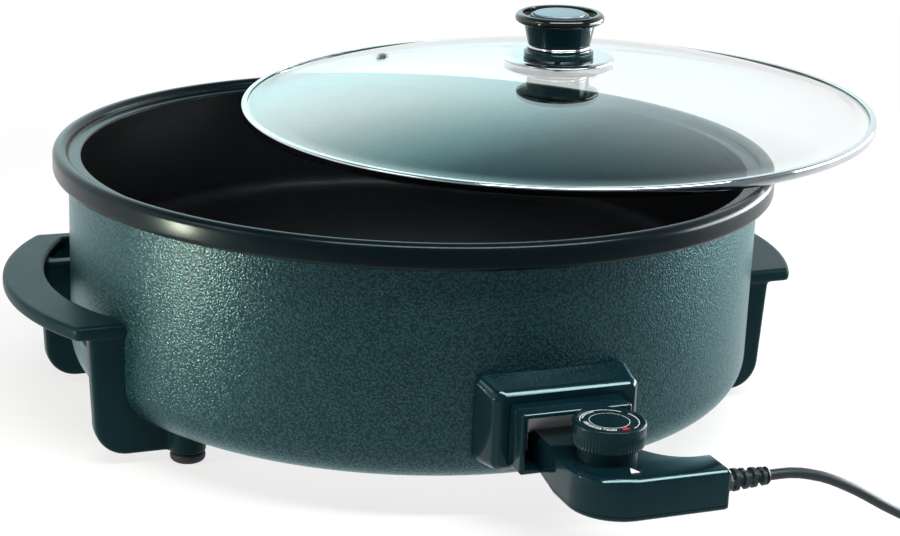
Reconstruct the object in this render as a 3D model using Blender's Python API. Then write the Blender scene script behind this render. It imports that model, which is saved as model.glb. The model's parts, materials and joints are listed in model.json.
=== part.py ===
"""Electric skillet: a round vessel with a heating element under its floor, two moulded handles with legs,
a loose glass lid laid askew across the rim, and a plug-in temperature control with a dial and a mains cord.

Metres, +Z up. The vessel's socket faces -Y and the handles lie along X. Everything is measured from the
vessel's axis and the standing surface. The empty named skillet then moves the whole object, so that its
origin lies under the middle of its bounding box."""

import math

import bmesh
import bpy
from mathutils import Matrix, Vector

MM = 0.001
TURN = 2 * math.pi
QUARTER = math.pi / 2

# General clearances and fineness
GAP = 0.3 * MM
OVERRUN = 20 * MM
ROUND_STEPS = 40
KNOB_STEPS = 24
SMALL_STEPS = 16
TINY_STEPS = 8
FILLET_STEPS = 3
ROUTE_PARTS = 12
SHARP_DEG = 35
MITRE_LIMIT_SHARE = 0.4
EDGE_SHARES = ((0, 0), (0.5, 0.13), (0.87, 0.5), (1, 1))

# The vessel's wall, which the rim, the handles, the lid and the control are placed from
SHELL_RADIUS = 201 * MM

# Rim and cooking pan
RIM_HEIGHT = 148 * MM
RIM_OVERHANG = 9 * MM
BEAD_HEIGHT = 14 * MM
BEAD_WIDTH = 8.6 * MM
SEAT_DROP = 5 * MM
SEAT_WIDTH = 7.6 * MM
COOK_HEIGHT = 80 * MM
PAN_WALL = 2.6 * MM
PAN_FLOOR = 3 * MM
PAN_FLOOR_SET = 15 * MM
PAN_FILLET = 12 * MM
SEAT_FILLET = 1.2 * MM
HEM_FILLET = 3 * MM

# Outer shell and base plate
SHELL_WALL = 1.2 * MM
SHELL_BOTTOM = 21.7 * MM
SHELL_FILLET = 23 * MM
SHELL_LIP = 10 * MM
PLATE_WALL = 1.2 * MM
PLATE_MARGIN = 2.5 * MM
PLATE_RIB_SET = 89 * MM
PLATE_RIB_WIDTH = 50 * MM
PLATE_RIB_RISE = 3 * MM
POST_COUNT = 3
POST_SET = 8 * MM
POST_RADIUS = 5 * MM
POST_BORE_DEPTH = 14 * MM

# Screws: shank radius, head radius and head height
SCREW_RADIUS = 1.9 * MM
SCREW_HEAD_RADIUS = 3.8 * MM
SCREW_HEAD = 2.2 * MM
SCREW_SLOT = 0.9 * MM
SCREW_SLOT_DEPTH = 0.9 * MM
SCREW_PLAY = 0.3 * MM
SCREW_SETBACK = 1.2 * MM
SCREW_CROWN_SHARE = 0.6

# Heating element and the cast spreader that carries it
SPREADER_SET = 51 * MM
SPREADER_THICKNESS = 4 * MM
ELEMENT_SET = 32 * MM
ELEMENT_RADIUS = 4 * MM
ELEMENT_GAP_DEG = 20
ELEMENT_STEP_DEG = 16

# Shares of the way along, across and down that each tail of the element follows
TAIL_SHARES = (
    (0.15, 0, 1),
    (0.32, 0.06, 0.9),
    (0.48, 0.2, 0.68),
    (0.64, 0.42, 0.36),
    (0.8, 0.68, 0.1),
    (0.93, 0.9, 0),
)

# Socket: bezel on the shell, shroud that guides the control
SOCKET_X = 2 * MM
PROBE_HEIGHT = 51 * MM
BEZEL_LEFT = -41 * MM
BEZEL_RIGHT = 44.5 * MM
BEZEL_BOTTOM = 37 * MM
BEZEL_TOP = 85 * MM
BEZEL_REACH = 13.5 * MM
BEZEL_LEFT_SLOPE = 4.5 * MM
BEZEL_TOP_SLOPE = 4.5 * MM
BEZEL_CORNER = 6 * MM
BEZEL_EDGE = 3 * MM
SHROUD_WIDTH = 61 * MM
SHROUD_BOTTOM = 41 * MM
SHROUD_TOP = 73.5 * MM
SHROUD_REACH = 29 * MM
SHROUD_WALL = 2.5 * MM
SHROUD_CORNER = 2 * MM
SHROUD_EDGE = 0.8 * MM
SOCKET_ROOT = 12 * MM
WINDOW_WIDTH = 44 * MM
WINDOW_BOTTOM = 44 * MM
WINDOW_TOP = 68 * MM
BEZEL_SCREW_INSET = 5.5 * MM
BEZEL_SCREW_LENGTH = 9 * MM

# Probe sleeve, terminal pins and their block
SLEEVE_BORE = 3.4 * MM
SLEEVE_RADIUS = 5.4 * MM
SLEEVE_MOUTH_INSET = 3 * MM
SLEEVE_LENGTH = 58 * MM
SLEEVE_BOTTOM = 3 * MM
SLEEVE_BLOCK_WIDTH = 15 * MM
SLEEVE_BLOCK_LENGTH = 24 * MM
SLEEVE_BLOCK_SET = 4 * MM
SLEEVE_BLOCK_UNDER = 7.5 * MM
PIN_SPREAD = 13 * MM
PIN_RADIUS = 2.4 * MM
PIN_REACH = 14 * MM
PIN_TIP = 2 * MM
PIN_BACK_INSET = 26 * MM
BLOCK_WIDTH = 38 * MM
BLOCK_HEIGHT = 14 * MM
BLOCK_DEPTH = 10 * MM
BLOCK_INSET = 14 * MM

# Handles: a crescent grip on two legs, with an arm under the pan and a boss for each foot
GRIP_TOP = 82 * MM
GRIP_THICKNESS = 8 * MM
GRIP_FRONT = -68 * MM
GRIP_BACK = 116 * MM
GRIP_PAD = 12 * MM
GRIP_MOUTH = 16 * MM
GRIP_OUTER_SET = 126.6 * MM
GRIP_OUTER_Y = 14 * MM
GRIP_NEAR_SET = 123.1 * MM
GRIP_FAR_SET = 146.4 * MM
GRIP_INNER_Y = 19 * MM
GRIP_OUTER_LEFT = 163.6 * MM
GRIP_OUTER_RIGHT = 168 * MM
GRIP_NEAR = 134.8 * MM
GRIP_EDGE = 1.6 * MM
GRIP_STEPS = 10
LEG_FRONT = -66 * MM
LEG_REAR = 78 * MM
LEG_THICKNESS = 12 * MM
LEG_STANDOFF = 8 * MM
LEG_TAPER = 3 * MM
LEG_CHAMFER = 3 * MM
LEG_ROOT_SET = 23 * MM
ARM_BOTTOM = 6 * MM
ARM_CORNER = 18 * MM
GUSSET_INSET = 15.6 * MM
GUSSET_LENGTH = 34 * MM
GUSSET_DEPTH = 15 * MM
GUSSET_WIDTH = 6 * MM
GUSSET_STEPS = 4
GUSSET_TIP_SHARE = 0.06
FOOT_SET = 46.2 * MM
FOOT_FRONT = -66 * MM
FOOT_REAR = 73 * MM
BOSS_BOTTOM = 5.5 * MM
FOOT_RADIUS = 9.8 * MM
FOOT_EDGE = 1.6 * MM
BOSS_RADIUS = 10.2 * MM
PEG_RADIUS = 3.5 * MM
PEG_LENGTH = 6 * MM
HANDLE_SCREW_HEIGHT = 58 * MM
HANDLE_SCREW_LENGTH = 13 * MM

# Lid: ring, dome, vent and knob, from the ring's underside
LID_PLAY = 1.9 * MM
LID_SHIFT = 132.5 * MM
LID_SHIFT_DEG = 26.5
LID_TILT_DEG = 1.9
RING_HEIGHT = 6 * MM
RING_WIDTH = 5.4 * MM
RING_WALL = 1 * MM
RING_ROUND = 1.4 * MM
GLASS_THICKNESS = 4 * MM
GLASS_RISE = 32.1 * MM
GLASS_SHARES = (0.25, 0.5, 0.72, 0.88)
GLASS_POWER = 2.2
GLASS_BORDER = 5.5 * MM
VENT_OFFSET_DEG = 134.5
VENT_SET = 76.5 * MM
VENT_RADIUS = 2.6 * MM
VENT_WALL = 0.9 * MM
VENT_FLANGE = 4.6 * MM
VENT_FLANGE_WALL = 0.9 * MM
KNOB_BORE = 4 * MM
GASKET_RADIUS = 14 * MM
GASKET_THICKNESS = 1 * MM
FLANGE_RADIUS = 35 * MM
FLANGE_THICKNESS = 2 * MM
FLANGE_EDGE = 0.7 * MM
BASE_RADIUS = 22 * MM
BASE_HEIGHT = 4.6 * MM
NECK_RADIUS = 20.2 * MM
NECK_HEIGHT = 2.4 * MM
KNOB_LOW_RADIUS = 19.8 * MM
KNOB_HIGH_RADIUS = 22.4 * MM
KNOB_BODY_HEIGHT = 13 * MM
KNOB_RIM_RADIUS = 28 * MM
KNOB_RIM_HEIGHT = 6.4 * MM
KNOB_RIM_WIDTH = 4.6 * MM
KNOB_RECESS = 2.6 * MM
CAP_RADIUS = 16.2 * MM
CAP_HEIGHT = 2.2 * MM
WASHER_RADIUS = 11 * MM
WASHER_THICKNESS = 1.4 * MM
KNOB_SCREW_LENGTH = 24 * MM
KNOB_SCREW_RADIUS = 2.6 * MM
KNOB_SCREW_HEAD_RADIUS = 5 * MM
KNOB_SCREW_HEAD = 3 * MM

# Control case, from the vessel's axis and the standing surface
CASE_BOTTOM = 37 * MM
CASE_TOP = 58.5 * MM
CASE_PARTING = 39.5 * MM
CASE_WALL = 1.8 * MM
CASE_EDGE = 2.2 * MM
CASE_PAD_RISE = 1.8 * MM
NOSE_STANDOFF = 12 * MM
NOSE_HALF_WIDTH = 19 * MM
NOSE_BOTTOM = 44.4 * MM
NOSE_STEP = 41.5 * MM
NOSE_FLAT = 18 * MM
NOSE_SLOPE = 21 * MM
SHOULDER_LENGTH = 24 * MM
ELBOW_X = 8 * MM
ELBOW_LENGTH = 51 * MM
ELBOW_RADIUS = 26 * MM
ARM_END_X = 58 * MM
ARM_BACK_SET = 4 * MM
ARM_CORNER_ROUND = 2.5 * MM
BAY_X = 50 * MM
BAY_SIDE_X = 24 * MM
BAY_STEPS = 7
ELBOW_STEPS = 9
SHIELD_THICKNESS = 1.2 * MM
SHIELD_TOP = 69 * MM
SHIELD_CORNER = 2 * MM
ROD_RADIUS = 3 * MM
ROD_TIP = 2 * MM
ROD_END_PLAY = 4 * MM
ROD_BACK = 16 * MM
CONTACT_BORE = 2.8 * MM
CONTACT_RADIUS = 4 * MM
CONTACT_REACH = 17 * MM
CONTACT_BACK = 9 * MM
COLLAR_RADIUS = 15 * MM
COLLAR_HEIGHT = 7.7 * MM
BOSS_NEAR_X = -9.5 * MM
BOSS_NEAR_SET = 19.5 * MM
BOSS_FAR_X = 46 * MM
CASE_BOSS_RADIUS = 3.6 * MM
CASE_SCREW_LENGTH = 11 * MM
POINTER_X = 9 * MM
POINTER_SET = 11.5 * MM
POINTER_LENGTH = 6 * MM
POINTER_WIDTH = 4.6 * MM
POINTER_THICKNESS = 0.4 * MM

# Switch inside the case
SWITCH_LENGTH = 30 * MM
SWITCH_WIDTH = 12 * MM
SWITCH_WALL = 1.2 * MM
SWITCH_POST = 5 * MM
SWITCH_POST_HEIGHT = 6.5 * MM
BLADE_THICKNESS = 0.6 * MM
BLADE_WIDTH = 6 * MM

# Dial
DIAL_X = 5.8 * MM
DIAL_SET = 7 * MM
DIAL_RADIUS = 18.5 * MM
DIAL_LOW_RADIUS = 18 * MM
DIAL_HEIGHT = 10.4 * MM
DIAL_CHAMFER = 1.4 * MM
DIAL_RIBS = 30
DIAL_RIB_DEPTH = 0.5 * MM
DIAL_RECESS_RADIUS = 15.7 * MM
DIAL_RECESS = 0.9 * MM
SCALE_INNER = 10.4 * MM
SCALE_THICKNESS = 0.6 * MM
CAP_DISC_RADIUS = 10 * MM
CAP_DISC_THICKNESS = 0.8 * MM
SPINDLE_RADIUS = 3 * MM
SPINDLE_IN_KNOB = 7 * MM
CAM_RADIUS = 7.5 * MM
CAM_HEIGHT = 2.4 * MM
CAM_TIP = 3 * MM

# Cord, strain relief, coil and plug
CORD_DIAMETER = 5.6 * MM
CORD_HEIGHT = 47.7 * MM
CORD_SET = 15 * MM
CORD_STEP = 14 * MM
RELIEF_LENGTH = 26 * MM
RELIEF_RADIUS = 6.2 * MM
RELIEF_END_RADIUS = 4.6 * MM
RELIEF_RIBS = 4
RELIEF_STEPS = 12
RELIEF_RIB_DEPTH = 1.1 * MM
RIB_SHARES = ((-0.4, 0), (-0.3, 1), (-0.05, 1), (0.05, 0))
COIL_RADIUS = 30.8 * MM
COIL_TURNS = 4.25
COIL_PITCH = 6.25 * MM
COIL_LAYER = 6.2 * MM
COIL_SOFTENING = 0.12
COIL_STEPS = 24
COIL_CLIMB = 0.5
COIL_TAIL = 23 * MM
TIE_THICKNESS = 0.8 * MM
TIE_WIDTH = 5 * MM
TIE_ANGLE_DEG = 150
PLUG_NECK_LENGTH = 12 * MM
PLUG_NECK_RADIUS = 4.6 * MM
PLUG_LENGTH = 26 * MM
PLUG_WIDTH = 24 * MM
PLUG_WAIST = 17 * MM
PLUG_CORNER = 4 * MM
PLUG_ROUND_SHARE = 0.98
PLUG_SHARES = ((0.04, 0), (0.35, 0.15), (0.7, 0.9), (0.8, 1), (1, 1))
BLADE_SPACING = 12.7 * MM
BLADE_LENGTH = 16 * MM
BLADE_HEIGHT = 6.3 * MM
BLADE_WALL = 1.5 * MM
BLADE_ROOT = 4 * MM
CORD_NODES = (
    "supply_cord",
    "cord_coil",
    "cord_tie",
    "plug_body",
    "plug_blade_left",
    "plug_blade_right",
    "strain_relief",
)

# Route of the cord from the strain relief to the coil, in metres from where it leaves the relief
CORD_ROUTE = (
    (0.000, 0.000, 0.0000),
    (0.008, 0.000, 0.0000),
    (0.018, 0.000, -0.0008),
    (0.034, -0.001, -0.0050),
    (0.052, -0.002, -0.0135),
    (0.070, -0.003, -0.0240),
    (0.088, -0.003, -0.0335),
    (0.106, -0.002, -0.0405),
    (0.122, 0.000, -0.0440),
    (0.138, 0.002, -0.0449),
    (0.155, 0.002, -0.0446),
    (0.170, 0.001, -0.0441),
    (0.182, 0.000, -0.0438),
    (0.190, 0.000, -0.0438),
)

# Derived levels, radii and places
RIM_RADIUS = SHELL_RADIUS + RIM_OVERHANG
PAN_FLOOR_RADIUS = SHELL_RADIUS - PAN_FLOOR_SET
PLATE_RIB_RADIUS = SHELL_RADIUS - PLATE_RIB_SET
SPREADER_RADIUS = SHELL_RADIUS - SPREADER_SET
POST_CIRCLE = SPREADER_RADIUS - POST_SET
ELEMENT_CIRCLE = SPREADER_RADIUS - ELEMENT_SET
RIM_TOP = RIM_HEIGHT + BEAD_HEIGHT / 2
BEAD_INNER = RIM_RADIUS - BEAD_WIDTH
SEAT_Z = RIM_TOP - SEAT_DROP
SEAT_INNER = BEAD_INNER - SEAT_WIDTH
PAN_UNDER = COOK_HEIGHT - PAN_FLOOR
SHELL_TOP = SEAT_Z - PAN_WALL - GAP
PLATE_Z = SHELL_BOTTOM + SHELL_WALL + GAP
SPREADER_Z = PAN_UNDER - GAP - SPREADER_THICKNESS
ELEMENT_Z = SPREADER_Z - GAP - ELEMENT_RADIUS
SLEEVE_MOUTH = SHELL_RADIUS - SLEEVE_MOUTH_INSET
GRIP_OUTER_CENTRE = (SHELL_RADIUS - GRIP_OUTER_SET, GRIP_OUTER_Y)
GRIP_NEAR_CENTRE = (SHELL_RADIUS - GRIP_NEAR_SET, GRIP_INNER_Y)
GRIP_FAR_CENTRE = (SHELL_RADIUS - GRIP_FAR_SET, GRIP_INNER_Y)
LEG_REACH = SHELL_RADIUS + LEG_STANDOFF
LEG_ROOT = SHELL_RADIUS - LEG_ROOT_SET
FOOT_X = SHELL_RADIUS - FOOT_SET
GRIP_UNDER = GRIP_TOP - GRIP_THICKNESS
WALL_FACE = SHELL_RADIUS + GAP
LID_RADIUS = BEAD_INNER - LID_PLAY
VENT_CIRCLE = LID_RADIUS - VENT_SET
GLASS_RADIUS = LID_RADIUS - RING_WALL - GAP
GLASS_EDGE_Z = RING_HEIGHT / 2 - GLASS_THICKNESS / 2 + GAP
FLANGE_Z = GLASS_RISE + GASKET_THICKNESS + 2 * GAP
BASE_Z = FLANGE_Z + FLANGE_THICKNESS + GAP
NECK_Z = BASE_Z + BASE_HEIGHT + GAP
BODY_Z = NECK_Z + NECK_HEIGHT + GAP
NOSE_Y = SHELL_RADIUS + NOSE_STANDOFF
NOSE_SLOPE_START = NOSE_Y + NOSE_FLAT
NOSE_SLOPE_END = NOSE_SLOPE_START + NOSE_SLOPE
SHOULDER_Y = NOSE_Y + SHOULDER_LENGTH
ELBOW_Y = NOSE_Y + ELBOW_LENGTH
ARM_BACK_Y = ELBOW_Y + ARM_BACK_SET
DIAL_Y = ELBOW_Y - DIAL_SET
POINTER_Y = ELBOW_Y + POINTER_SET
CORD_Y = ELBOW_Y + CORD_SET
BOSS_POINTS = ((BOSS_NEAR_X, BOSS_NEAR_SET - ELBOW_Y), (BOSS_FAR_X, -CORD_Y))
CASE_FRONT_Y = ELBOW_Y + ELBOW_RADIUS
DIAL_Z = CASE_TOP + COLLAR_HEIGHT + GAP
CORD_RADIUS = CORD_DIAMETER / 2
COIL_BASE = CORD_RADIUS + TIE_THICKNESS + GAP
SCREW_SIZES = (SCREW_RADIUS, SCREW_HEAD_RADIUS, SCREW_HEAD)


def material(name, colour, roughness, metallic=0.0, alpha=1.0):
    """A Principled material with one plain finish."""
    made = bpy.data.materials.new(name)
    made.use_nodes = True
    shader = made.node_tree.nodes["Principled BSDF"]
    shader.inputs["Base Color"].default_value = (*colour, 1)
    shader.inputs["Roughness"].default_value = roughness
    shader.inputs["Metallic"].default_value = metallic
    shader.inputs["Alpha"].default_value = alpha
    made.diffuse_color = (*colour, alpha)
    return made


def empty(name, parent=None, location=(0, 0, 0), rotation=None):
    made = bpy.data.objects.new(name, None)
    bpy.context.scene.collection.objects.link(made)
    made.parent = parent
    made.location = location
    if rotation is not None:
        made.rotation_euler = rotation.to_euler()
    return made


def piece(name, bm, finish, parent, location=(0, 0, 0), rotation=None, smooth=True):
    """Turns a bmesh into a named object that hangs on its body's empty."""
    bmesh.ops.recalc_face_normals(bm, faces=bm.faces)
    mesh = bpy.data.meshes.new(name)
    bm.to_mesh(mesh)
    bm.free()
    made = bpy.data.objects.new(name, mesh)
    bpy.context.scene.collection.objects.link(made)
    made.parent = parent
    made.location = location
    if rotation is not None:
        made.rotation_euler = rotation.to_euler()
    if finish is not None:
        mesh.materials.append(finish)
    if smooth:
        mesh.shade_smooth()
        mesh.set_sharp_from_angle(angle=math.radians(SHARP_DEG))
    return made


def copy_of(source, name, parent, location=(0, 0, 0), rotation=None):
    """A further object that shares the first one's mesh."""
    made = bpy.data.objects.new(name, source.data)
    bpy.context.scene.collection.objects.link(made)
    made.parent = parent
    made.location = location
    if rotation is not None:
        made.rotation_euler = rotation.to_euler()
    return made


def helper(made):
    """Marks a cutter, which only shapes other pieces."""
    made.hide_render = True
    made.display_type = "WIRE"
    return made


def boolean(target, tool, operation):
    step = target.modifiers.new(operation.title(), "BOOLEAN")
    step.operation = operation
    step.solver = "EXACT"
    step.object = tool


def cut(target, tool):
    boolean(target, tool, "DIFFERENCE")


def fuse(target, tool):
    boolean(target, tool, "UNION")


def bevel(target, width, segments=2, angle_deg=50):
    step = target.modifiers.new("Bevel", "BEVEL")
    step.width = width
    step.segments = segments
    step.limit_method = "ANGLE"
    step.angle_limit = math.radians(angle_deg)
    step.harden_normals = False


def arc(centre, radius, start, end, steps):
    """Points along an arc, both ends included; the angles are in radians."""
    points = []
    for index in range(steps + 1):
        angle = start + (end - start) * index / steps
        points.append((centre[0] + radius * math.cos(angle), centre[1] + radius * math.sin(angle)))
    return points


def turned(profile, steps=ROUND_STEPS, bm=None, place=None):
    """A closed profile of (radius, height) turned about Z."""
    bm = bm or bmesh.new()
    place = place or Matrix.Identity(4)
    rings = []
    for radius, height in profile:
        if radius <= 0:
            rings.append([bm.verts.new(place @ Vector((0, 0, height)))])
            continue
        ring = []
        for index in range(steps):
            angle = TURN * index / steps
            spot = Vector((radius * math.cos(angle), radius * math.sin(angle), height))
            ring.append(bm.verts.new(place @ spot))
        rings.append(ring)
    for first, second in zip(rings, rings[1:] + rings[:1]):
        for index in range(steps):
            after = (index + 1) % steps
            corners = [first[index % len(first)], first[after % len(first)]]
            corners += [second[after % len(second)], second[index % len(second)]]
            face = list(dict.fromkeys(corners))
            if len(face) > 2:
                bm.faces.new(face)
    return bm


def lofted(levels, bm=None, place=None):
    """Joins outlines of equal count, each given with its height, and caps both ends."""
    bm = bm or bmesh.new()
    place = place or Matrix.Identity(4)
    rings = []
    for height, outline in levels:
        rings.append([bm.verts.new(place @ Vector((x, y, height))) for x, y in outline])
    count = len(rings[0])
    for low, high in zip(rings, rings[1:]):
        for index in range(count):
            after = (index + 1) % count
            bm.faces.new((low[index], low[after], high[after], high[index]))
    bm.faces.new(rings[0])
    bm.faces.new(rings[-1])
    return bm


def prism(outline, low, high, bm=None, place=None):
    return lofted(((low, outline), (high, outline)), bm, place)


def rectangle(low, high, radius=0.0):
    """An outline between two corners, with rounded corners where a radius is given."""
    if radius <= 0:
        return [(low[0], low[1]), (high[0], low[1]), (high[0], high[1]), (low[0], high[1])]
    points = []
    centres = ((high[0] - radius, high[1] - radius), (low[0] + radius, high[1] - radius))
    centres += ((low[0] + radius, low[1] + radius), (high[0] - radius, low[1] + radius))
    for index, centre in enumerate(centres):
        points += arc(centre, radius, QUARTER * index, QUARTER * (index + 1), FILLET_STEPS)
    return points


def inset(outline, amount):
    """Moves each point of an outline inwards, whichever way round the outline runs."""
    area = 0
    for (x0, y0), (x1, y1) in zip(outline, outline[1:] + outline[:1]):
        area += x0 * y1 - x1 * y0
    side = amount if area > 0 else -amount
    moved = []
    for index, point in enumerate(outline):
        here = Vector(point)
        before = (here - Vector(outline[index - 1])).normalized()
        after = (Vector(outline[(index + 1) % len(outline)]) - here).normalized()
        normal = Vector((-(before.y + after.y), before.x + after.x)).normalized()
        reach = max(normal.dot(Vector((-before.y, before.x))), MITRE_LIMIT_SHARE)
        moved.append(tuple(here + normal * (side / reach)))
    return moved


def block(low, high, bm=None):
    return prism(rectangle(low, high), low[2], high[2], bm)


def facing(direction, spot=(0, 0, 0)):
    """A placement that turns +Z to the given direction and moves the origin to a spot."""
    turn = Vector((0, 0, 1)).rotation_difference(Vector(direction))
    return Matrix.Translation(spot) @ turn.to_matrix().to_4x4()


def rod_profile(radius, low, high, chamfer=0.0):
    """A plain round rod, with a chamfer at its high end where one is given."""
    if chamfer <= 0:
        return [(0, high), (radius, high), (radius, low), (0, low)]
    return [(0, high), (radius - chamfer, high), (radius, high - chamfer), (radius, low), (0, low)]


def screw_profile(radius, length, head_radius, head):
    """A screw whose head rests on Z = 0 and whose shank runs down."""
    crown = head_radius * SCREW_CROWN_SHARE
    return [
        (0, head),
        (crown, head),
        (head_radius, head * SCREW_CROWN_SHARE),
        (head_radius, 0),
        (radius, 0),
        (radius, -length),
        (0, -length),
    ]


def smooth_route(points, step):
    """Points a step apart on a smooth curve through the given points."""
    spots = [Vector(point) for point in points]
    padded = [2 * spots[0] - spots[1]] + spots + [2 * spots[-1] - spots[-2]]
    fine = []
    for index in range(1, len(padded) - 2):
        a, b, c, d = padded[index - 1 : index + 3]
        for part in range(ROUTE_PARTS):
            t = part / ROUTE_PARTS
            spot = 2 * b + (c - a) * t + (2 * a - 5 * b + 4 * c - d) * t * t
            spot += (3 * b - a - 3 * c + d) * t * t * t
            fine.append(spot / 2)
    fine.append(spots[-1])
    total = sum((after - before).length for before, after in zip(fine, fine[1:]))
    count = max(2, round(total / step))
    chosen = [fine[0]]
    walked = 0
    for before, after in zip(fine, fine[1:]):
        walked += (after - before).length
        if walked >= total * len(chosen) / count and len(chosen) < count:
            chosen.append(after)
    chosen.append(fine[-1])
    return chosen, total


def tube(name, points, radius, finish, parent, resolution):
    """A round tube with filled ends along a line of points."""
    curve = bpy.data.curves.new(name, "CURVE")
    curve.dimensions = "3D"
    curve.bevel_depth = radius
    curve.bevel_resolution = resolution
    curve.use_fill_caps = True
    spline = curve.splines.new("POLY")
    spline.points.add(len(points) - 1)
    for point, spot in zip(spline.points, points):
        point.co = (*spot, 1)
    spline.use_smooth = True
    curve.materials.append(finish)
    made = bpy.data.objects.new(name, curve)
    bpy.context.scene.collection.objects.link(made)
    made.parent = parent
    return made


def clear_scene():
    for leftover in list(bpy.data.objects):
        bpy.data.objects.remove(leftover)


def make_finishes():
    return {
        "hammered": material("hammered_paint", (0.05, 0.11, 0.12), 0.4, 0.3),
        "nonstick": material("nonstick_coating", (0.02, 0.025, 0.03), 0.45),
        "rim": material("rim_paint", (0.03, 0.06, 0.07), 0.35, 0.2),
        "steel": material("plated_steel", (0.55, 0.56, 0.57), 0.35, 1.0),
        "chrome": material("chrome", (0.85, 0.87, 0.88), 0.08, 1.0),
        "aluminium": material("cast_aluminium", (0.6, 0.6, 0.61), 0.5, 1.0),
        "phenolic": material("moulded_phenolic", (0.03, 0.05, 0.055), 0.4),
        "gloss": material("gloss_black", (0.008, 0.01, 0.012), 0.12),
        "rubber": material("rubber", (0.01, 0.01, 0.01), 0.8),
        "ceramic": material("ceramic", (0.8, 0.78, 0.72), 0.6),
        "glass": material("glass", (0.75, 0.88, 0.86), 0.03, 0.0, 0.3),
        "copper": material("contact_brass", (0.75, 0.55, 0.25), 0.3, 1.0),
        "print": material("dial_print", (0.75, 0.78, 0.78), 0.5),
        "cord": material("cord_sheath", (0.02, 0.03, 0.035), 0.45),
    }


def pan_profile():
    """The cooking pan: rolled rim, lid seat, wall and floor, from the hem's inner foot round and back."""
    hem_inner = SHELL_RADIUS + GAP
    bead = BEAD_WIDTH / 2
    wall_low = (PAN_FLOOR_RADIUS, COOK_HEIGHT + PAN_FILLET)
    fillet_centre = (PAN_FLOOR_RADIUS - PAN_FILLET, COOK_HEIGHT + PAN_FILLET)
    low = RIM_HEIGHT - BEAD_HEIGHT / 2
    profile = [(hem_inner, low)]
    profile += arc((RIM_RADIUS - HEM_FILLET, low + HEM_FILLET), HEM_FILLET, -QUARTER, 0, FILLET_STEPS - 1)
    profile += arc((RIM_RADIUS - bead, RIM_TOP - bead), bead, 0, 2 * QUARTER, FILLET_STEPS + 1)
    profile += [(BEAD_INNER, SEAT_Z), (SEAT_INNER + SEAT_FILLET, SEAT_Z), (SEAT_INNER, SEAT_Z - SEAT_FILLET)]
    profile += [wall_low]
    profile += arc(fillet_centre, PAN_FILLET, 0, -QUARTER, FILLET_STEPS)[1:]
    profile += [(0, COOK_HEIGHT), (0, PAN_UNDER)]
    profile += arc(fillet_centre, PAN_FILLET + PAN_FLOOR, -QUARTER, 0, FILLET_STEPS)
    shoulder = SEAT_Z - PAN_WALL
    outside = SEAT_INNER + PAN_WALL
    profile += [(outside, shoulder - SEAT_FILLET), (outside + SEAT_FILLET, shoulder)]
    profile += [(hem_inner, shoulder)]
    return profile


def shell_profile():
    centre = (SHELL_RADIUS - SHELL_FILLET, SHELL_BOTTOM + SHELL_FILLET)
    lip = centre[0] - SHELL_LIP
    profile = [(SHELL_RADIUS, SHELL_TOP)]
    profile += arc(centre, SHELL_FILLET, 0, -QUARTER, FILLET_STEPS)
    profile += [(lip, SHELL_BOTTOM), (lip, SHELL_BOTTOM + SHELL_WALL)]
    profile += arc(centre, SHELL_FILLET - SHELL_WALL, -QUARTER, 0, FILLET_STEPS)
    profile += [(SHELL_RADIUS - SHELL_WALL, SHELL_TOP)]
    return profile


def envelope_profile():
    """The solid space that the shell and its clearance take up."""
    centre = (SHELL_RADIUS - SHELL_FILLET, SHELL_BOTTOM + SHELL_FILLET)
    profile = [(0, RIM_TOP), (WALL_FACE, RIM_TOP)]
    profile += arc(centre, SHELL_FILLET + GAP, 0, -QUARTER, FILLET_STEPS)
    profile += [(0, SHELL_BOTTOM - GAP)]
    return profile


def plate_profile():
    edge = SHELL_RADIUS - SHELL_FILLET - PLATE_MARGIN
    rib_in = PLATE_RIB_RADIUS - PLATE_RIB_WIDTH / 2
    rib_out = PLATE_RIB_RADIUS + PLATE_RIB_WIDTH / 2
    under = [(0, PLATE_Z), (rib_in, PLATE_Z), (rib_in + PLATE_RIB_RISE, PLATE_Z + PLATE_RIB_RISE)]
    under += [(rib_out - PLATE_RIB_RISE, PLATE_Z + PLATE_RIB_RISE), (rib_out, PLATE_Z), (edge, PLATE_Z)]
    over = [(radius, height + PLATE_WALL) for radius, height in reversed(under)]
    return under + over


def post_spots():
    return [
        (POST_CIRCLE * math.cos(angle), POST_CIRCLE * math.sin(angle))
        for angle in (QUARTER + TURN * index / POST_COUNT for index in range(POST_COUNT))
    ]


def holes(name, parent, ways, radius, length, steps=TINY_STEPS):
    """One cutter that drills a round hole at each (spot, direction), to a length either side of the spot."""
    bm = bmesh.new()
    for spot, direction in ways:
        turned(rod_profile(radius, -length, length), steps, bm, facing(direction, spot))
    return helper(piece(name, bm, None, parent, smooth=False))


def screw(name, parent, way, length, finish, slotted=False, sizes=SCREW_SIZES):
    """A screw at a (spot, direction): its head stands out along the direction and its shank runs back."""
    radius, head_radius, head = sizes
    place = facing(way[1], way[0])
    profile = screw_profile(radius, length, head_radius, head)
    made = piece(name, turned(profile, TINY_STEPS, place=place), finish, parent)
    if slotted:
        reach = head_radius + GAP
        outline = rectangle((-reach, -SCREW_SLOT / 2), (reach, SCREW_SLOT / 2))
        slot = prism(outline, head - SCREW_SLOT_DEPTH, head + SCREW_SLOT_DEPTH, place=place)
        cut(made, helper(piece(name + "_slot", slot, None, parent, smooth=False)))
    return made


def wall_y(x, radius=SHELL_RADIUS):
    """How far the round wall reaches along -Y at a given X."""
    return math.sqrt(radius * radius - x * x)


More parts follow.
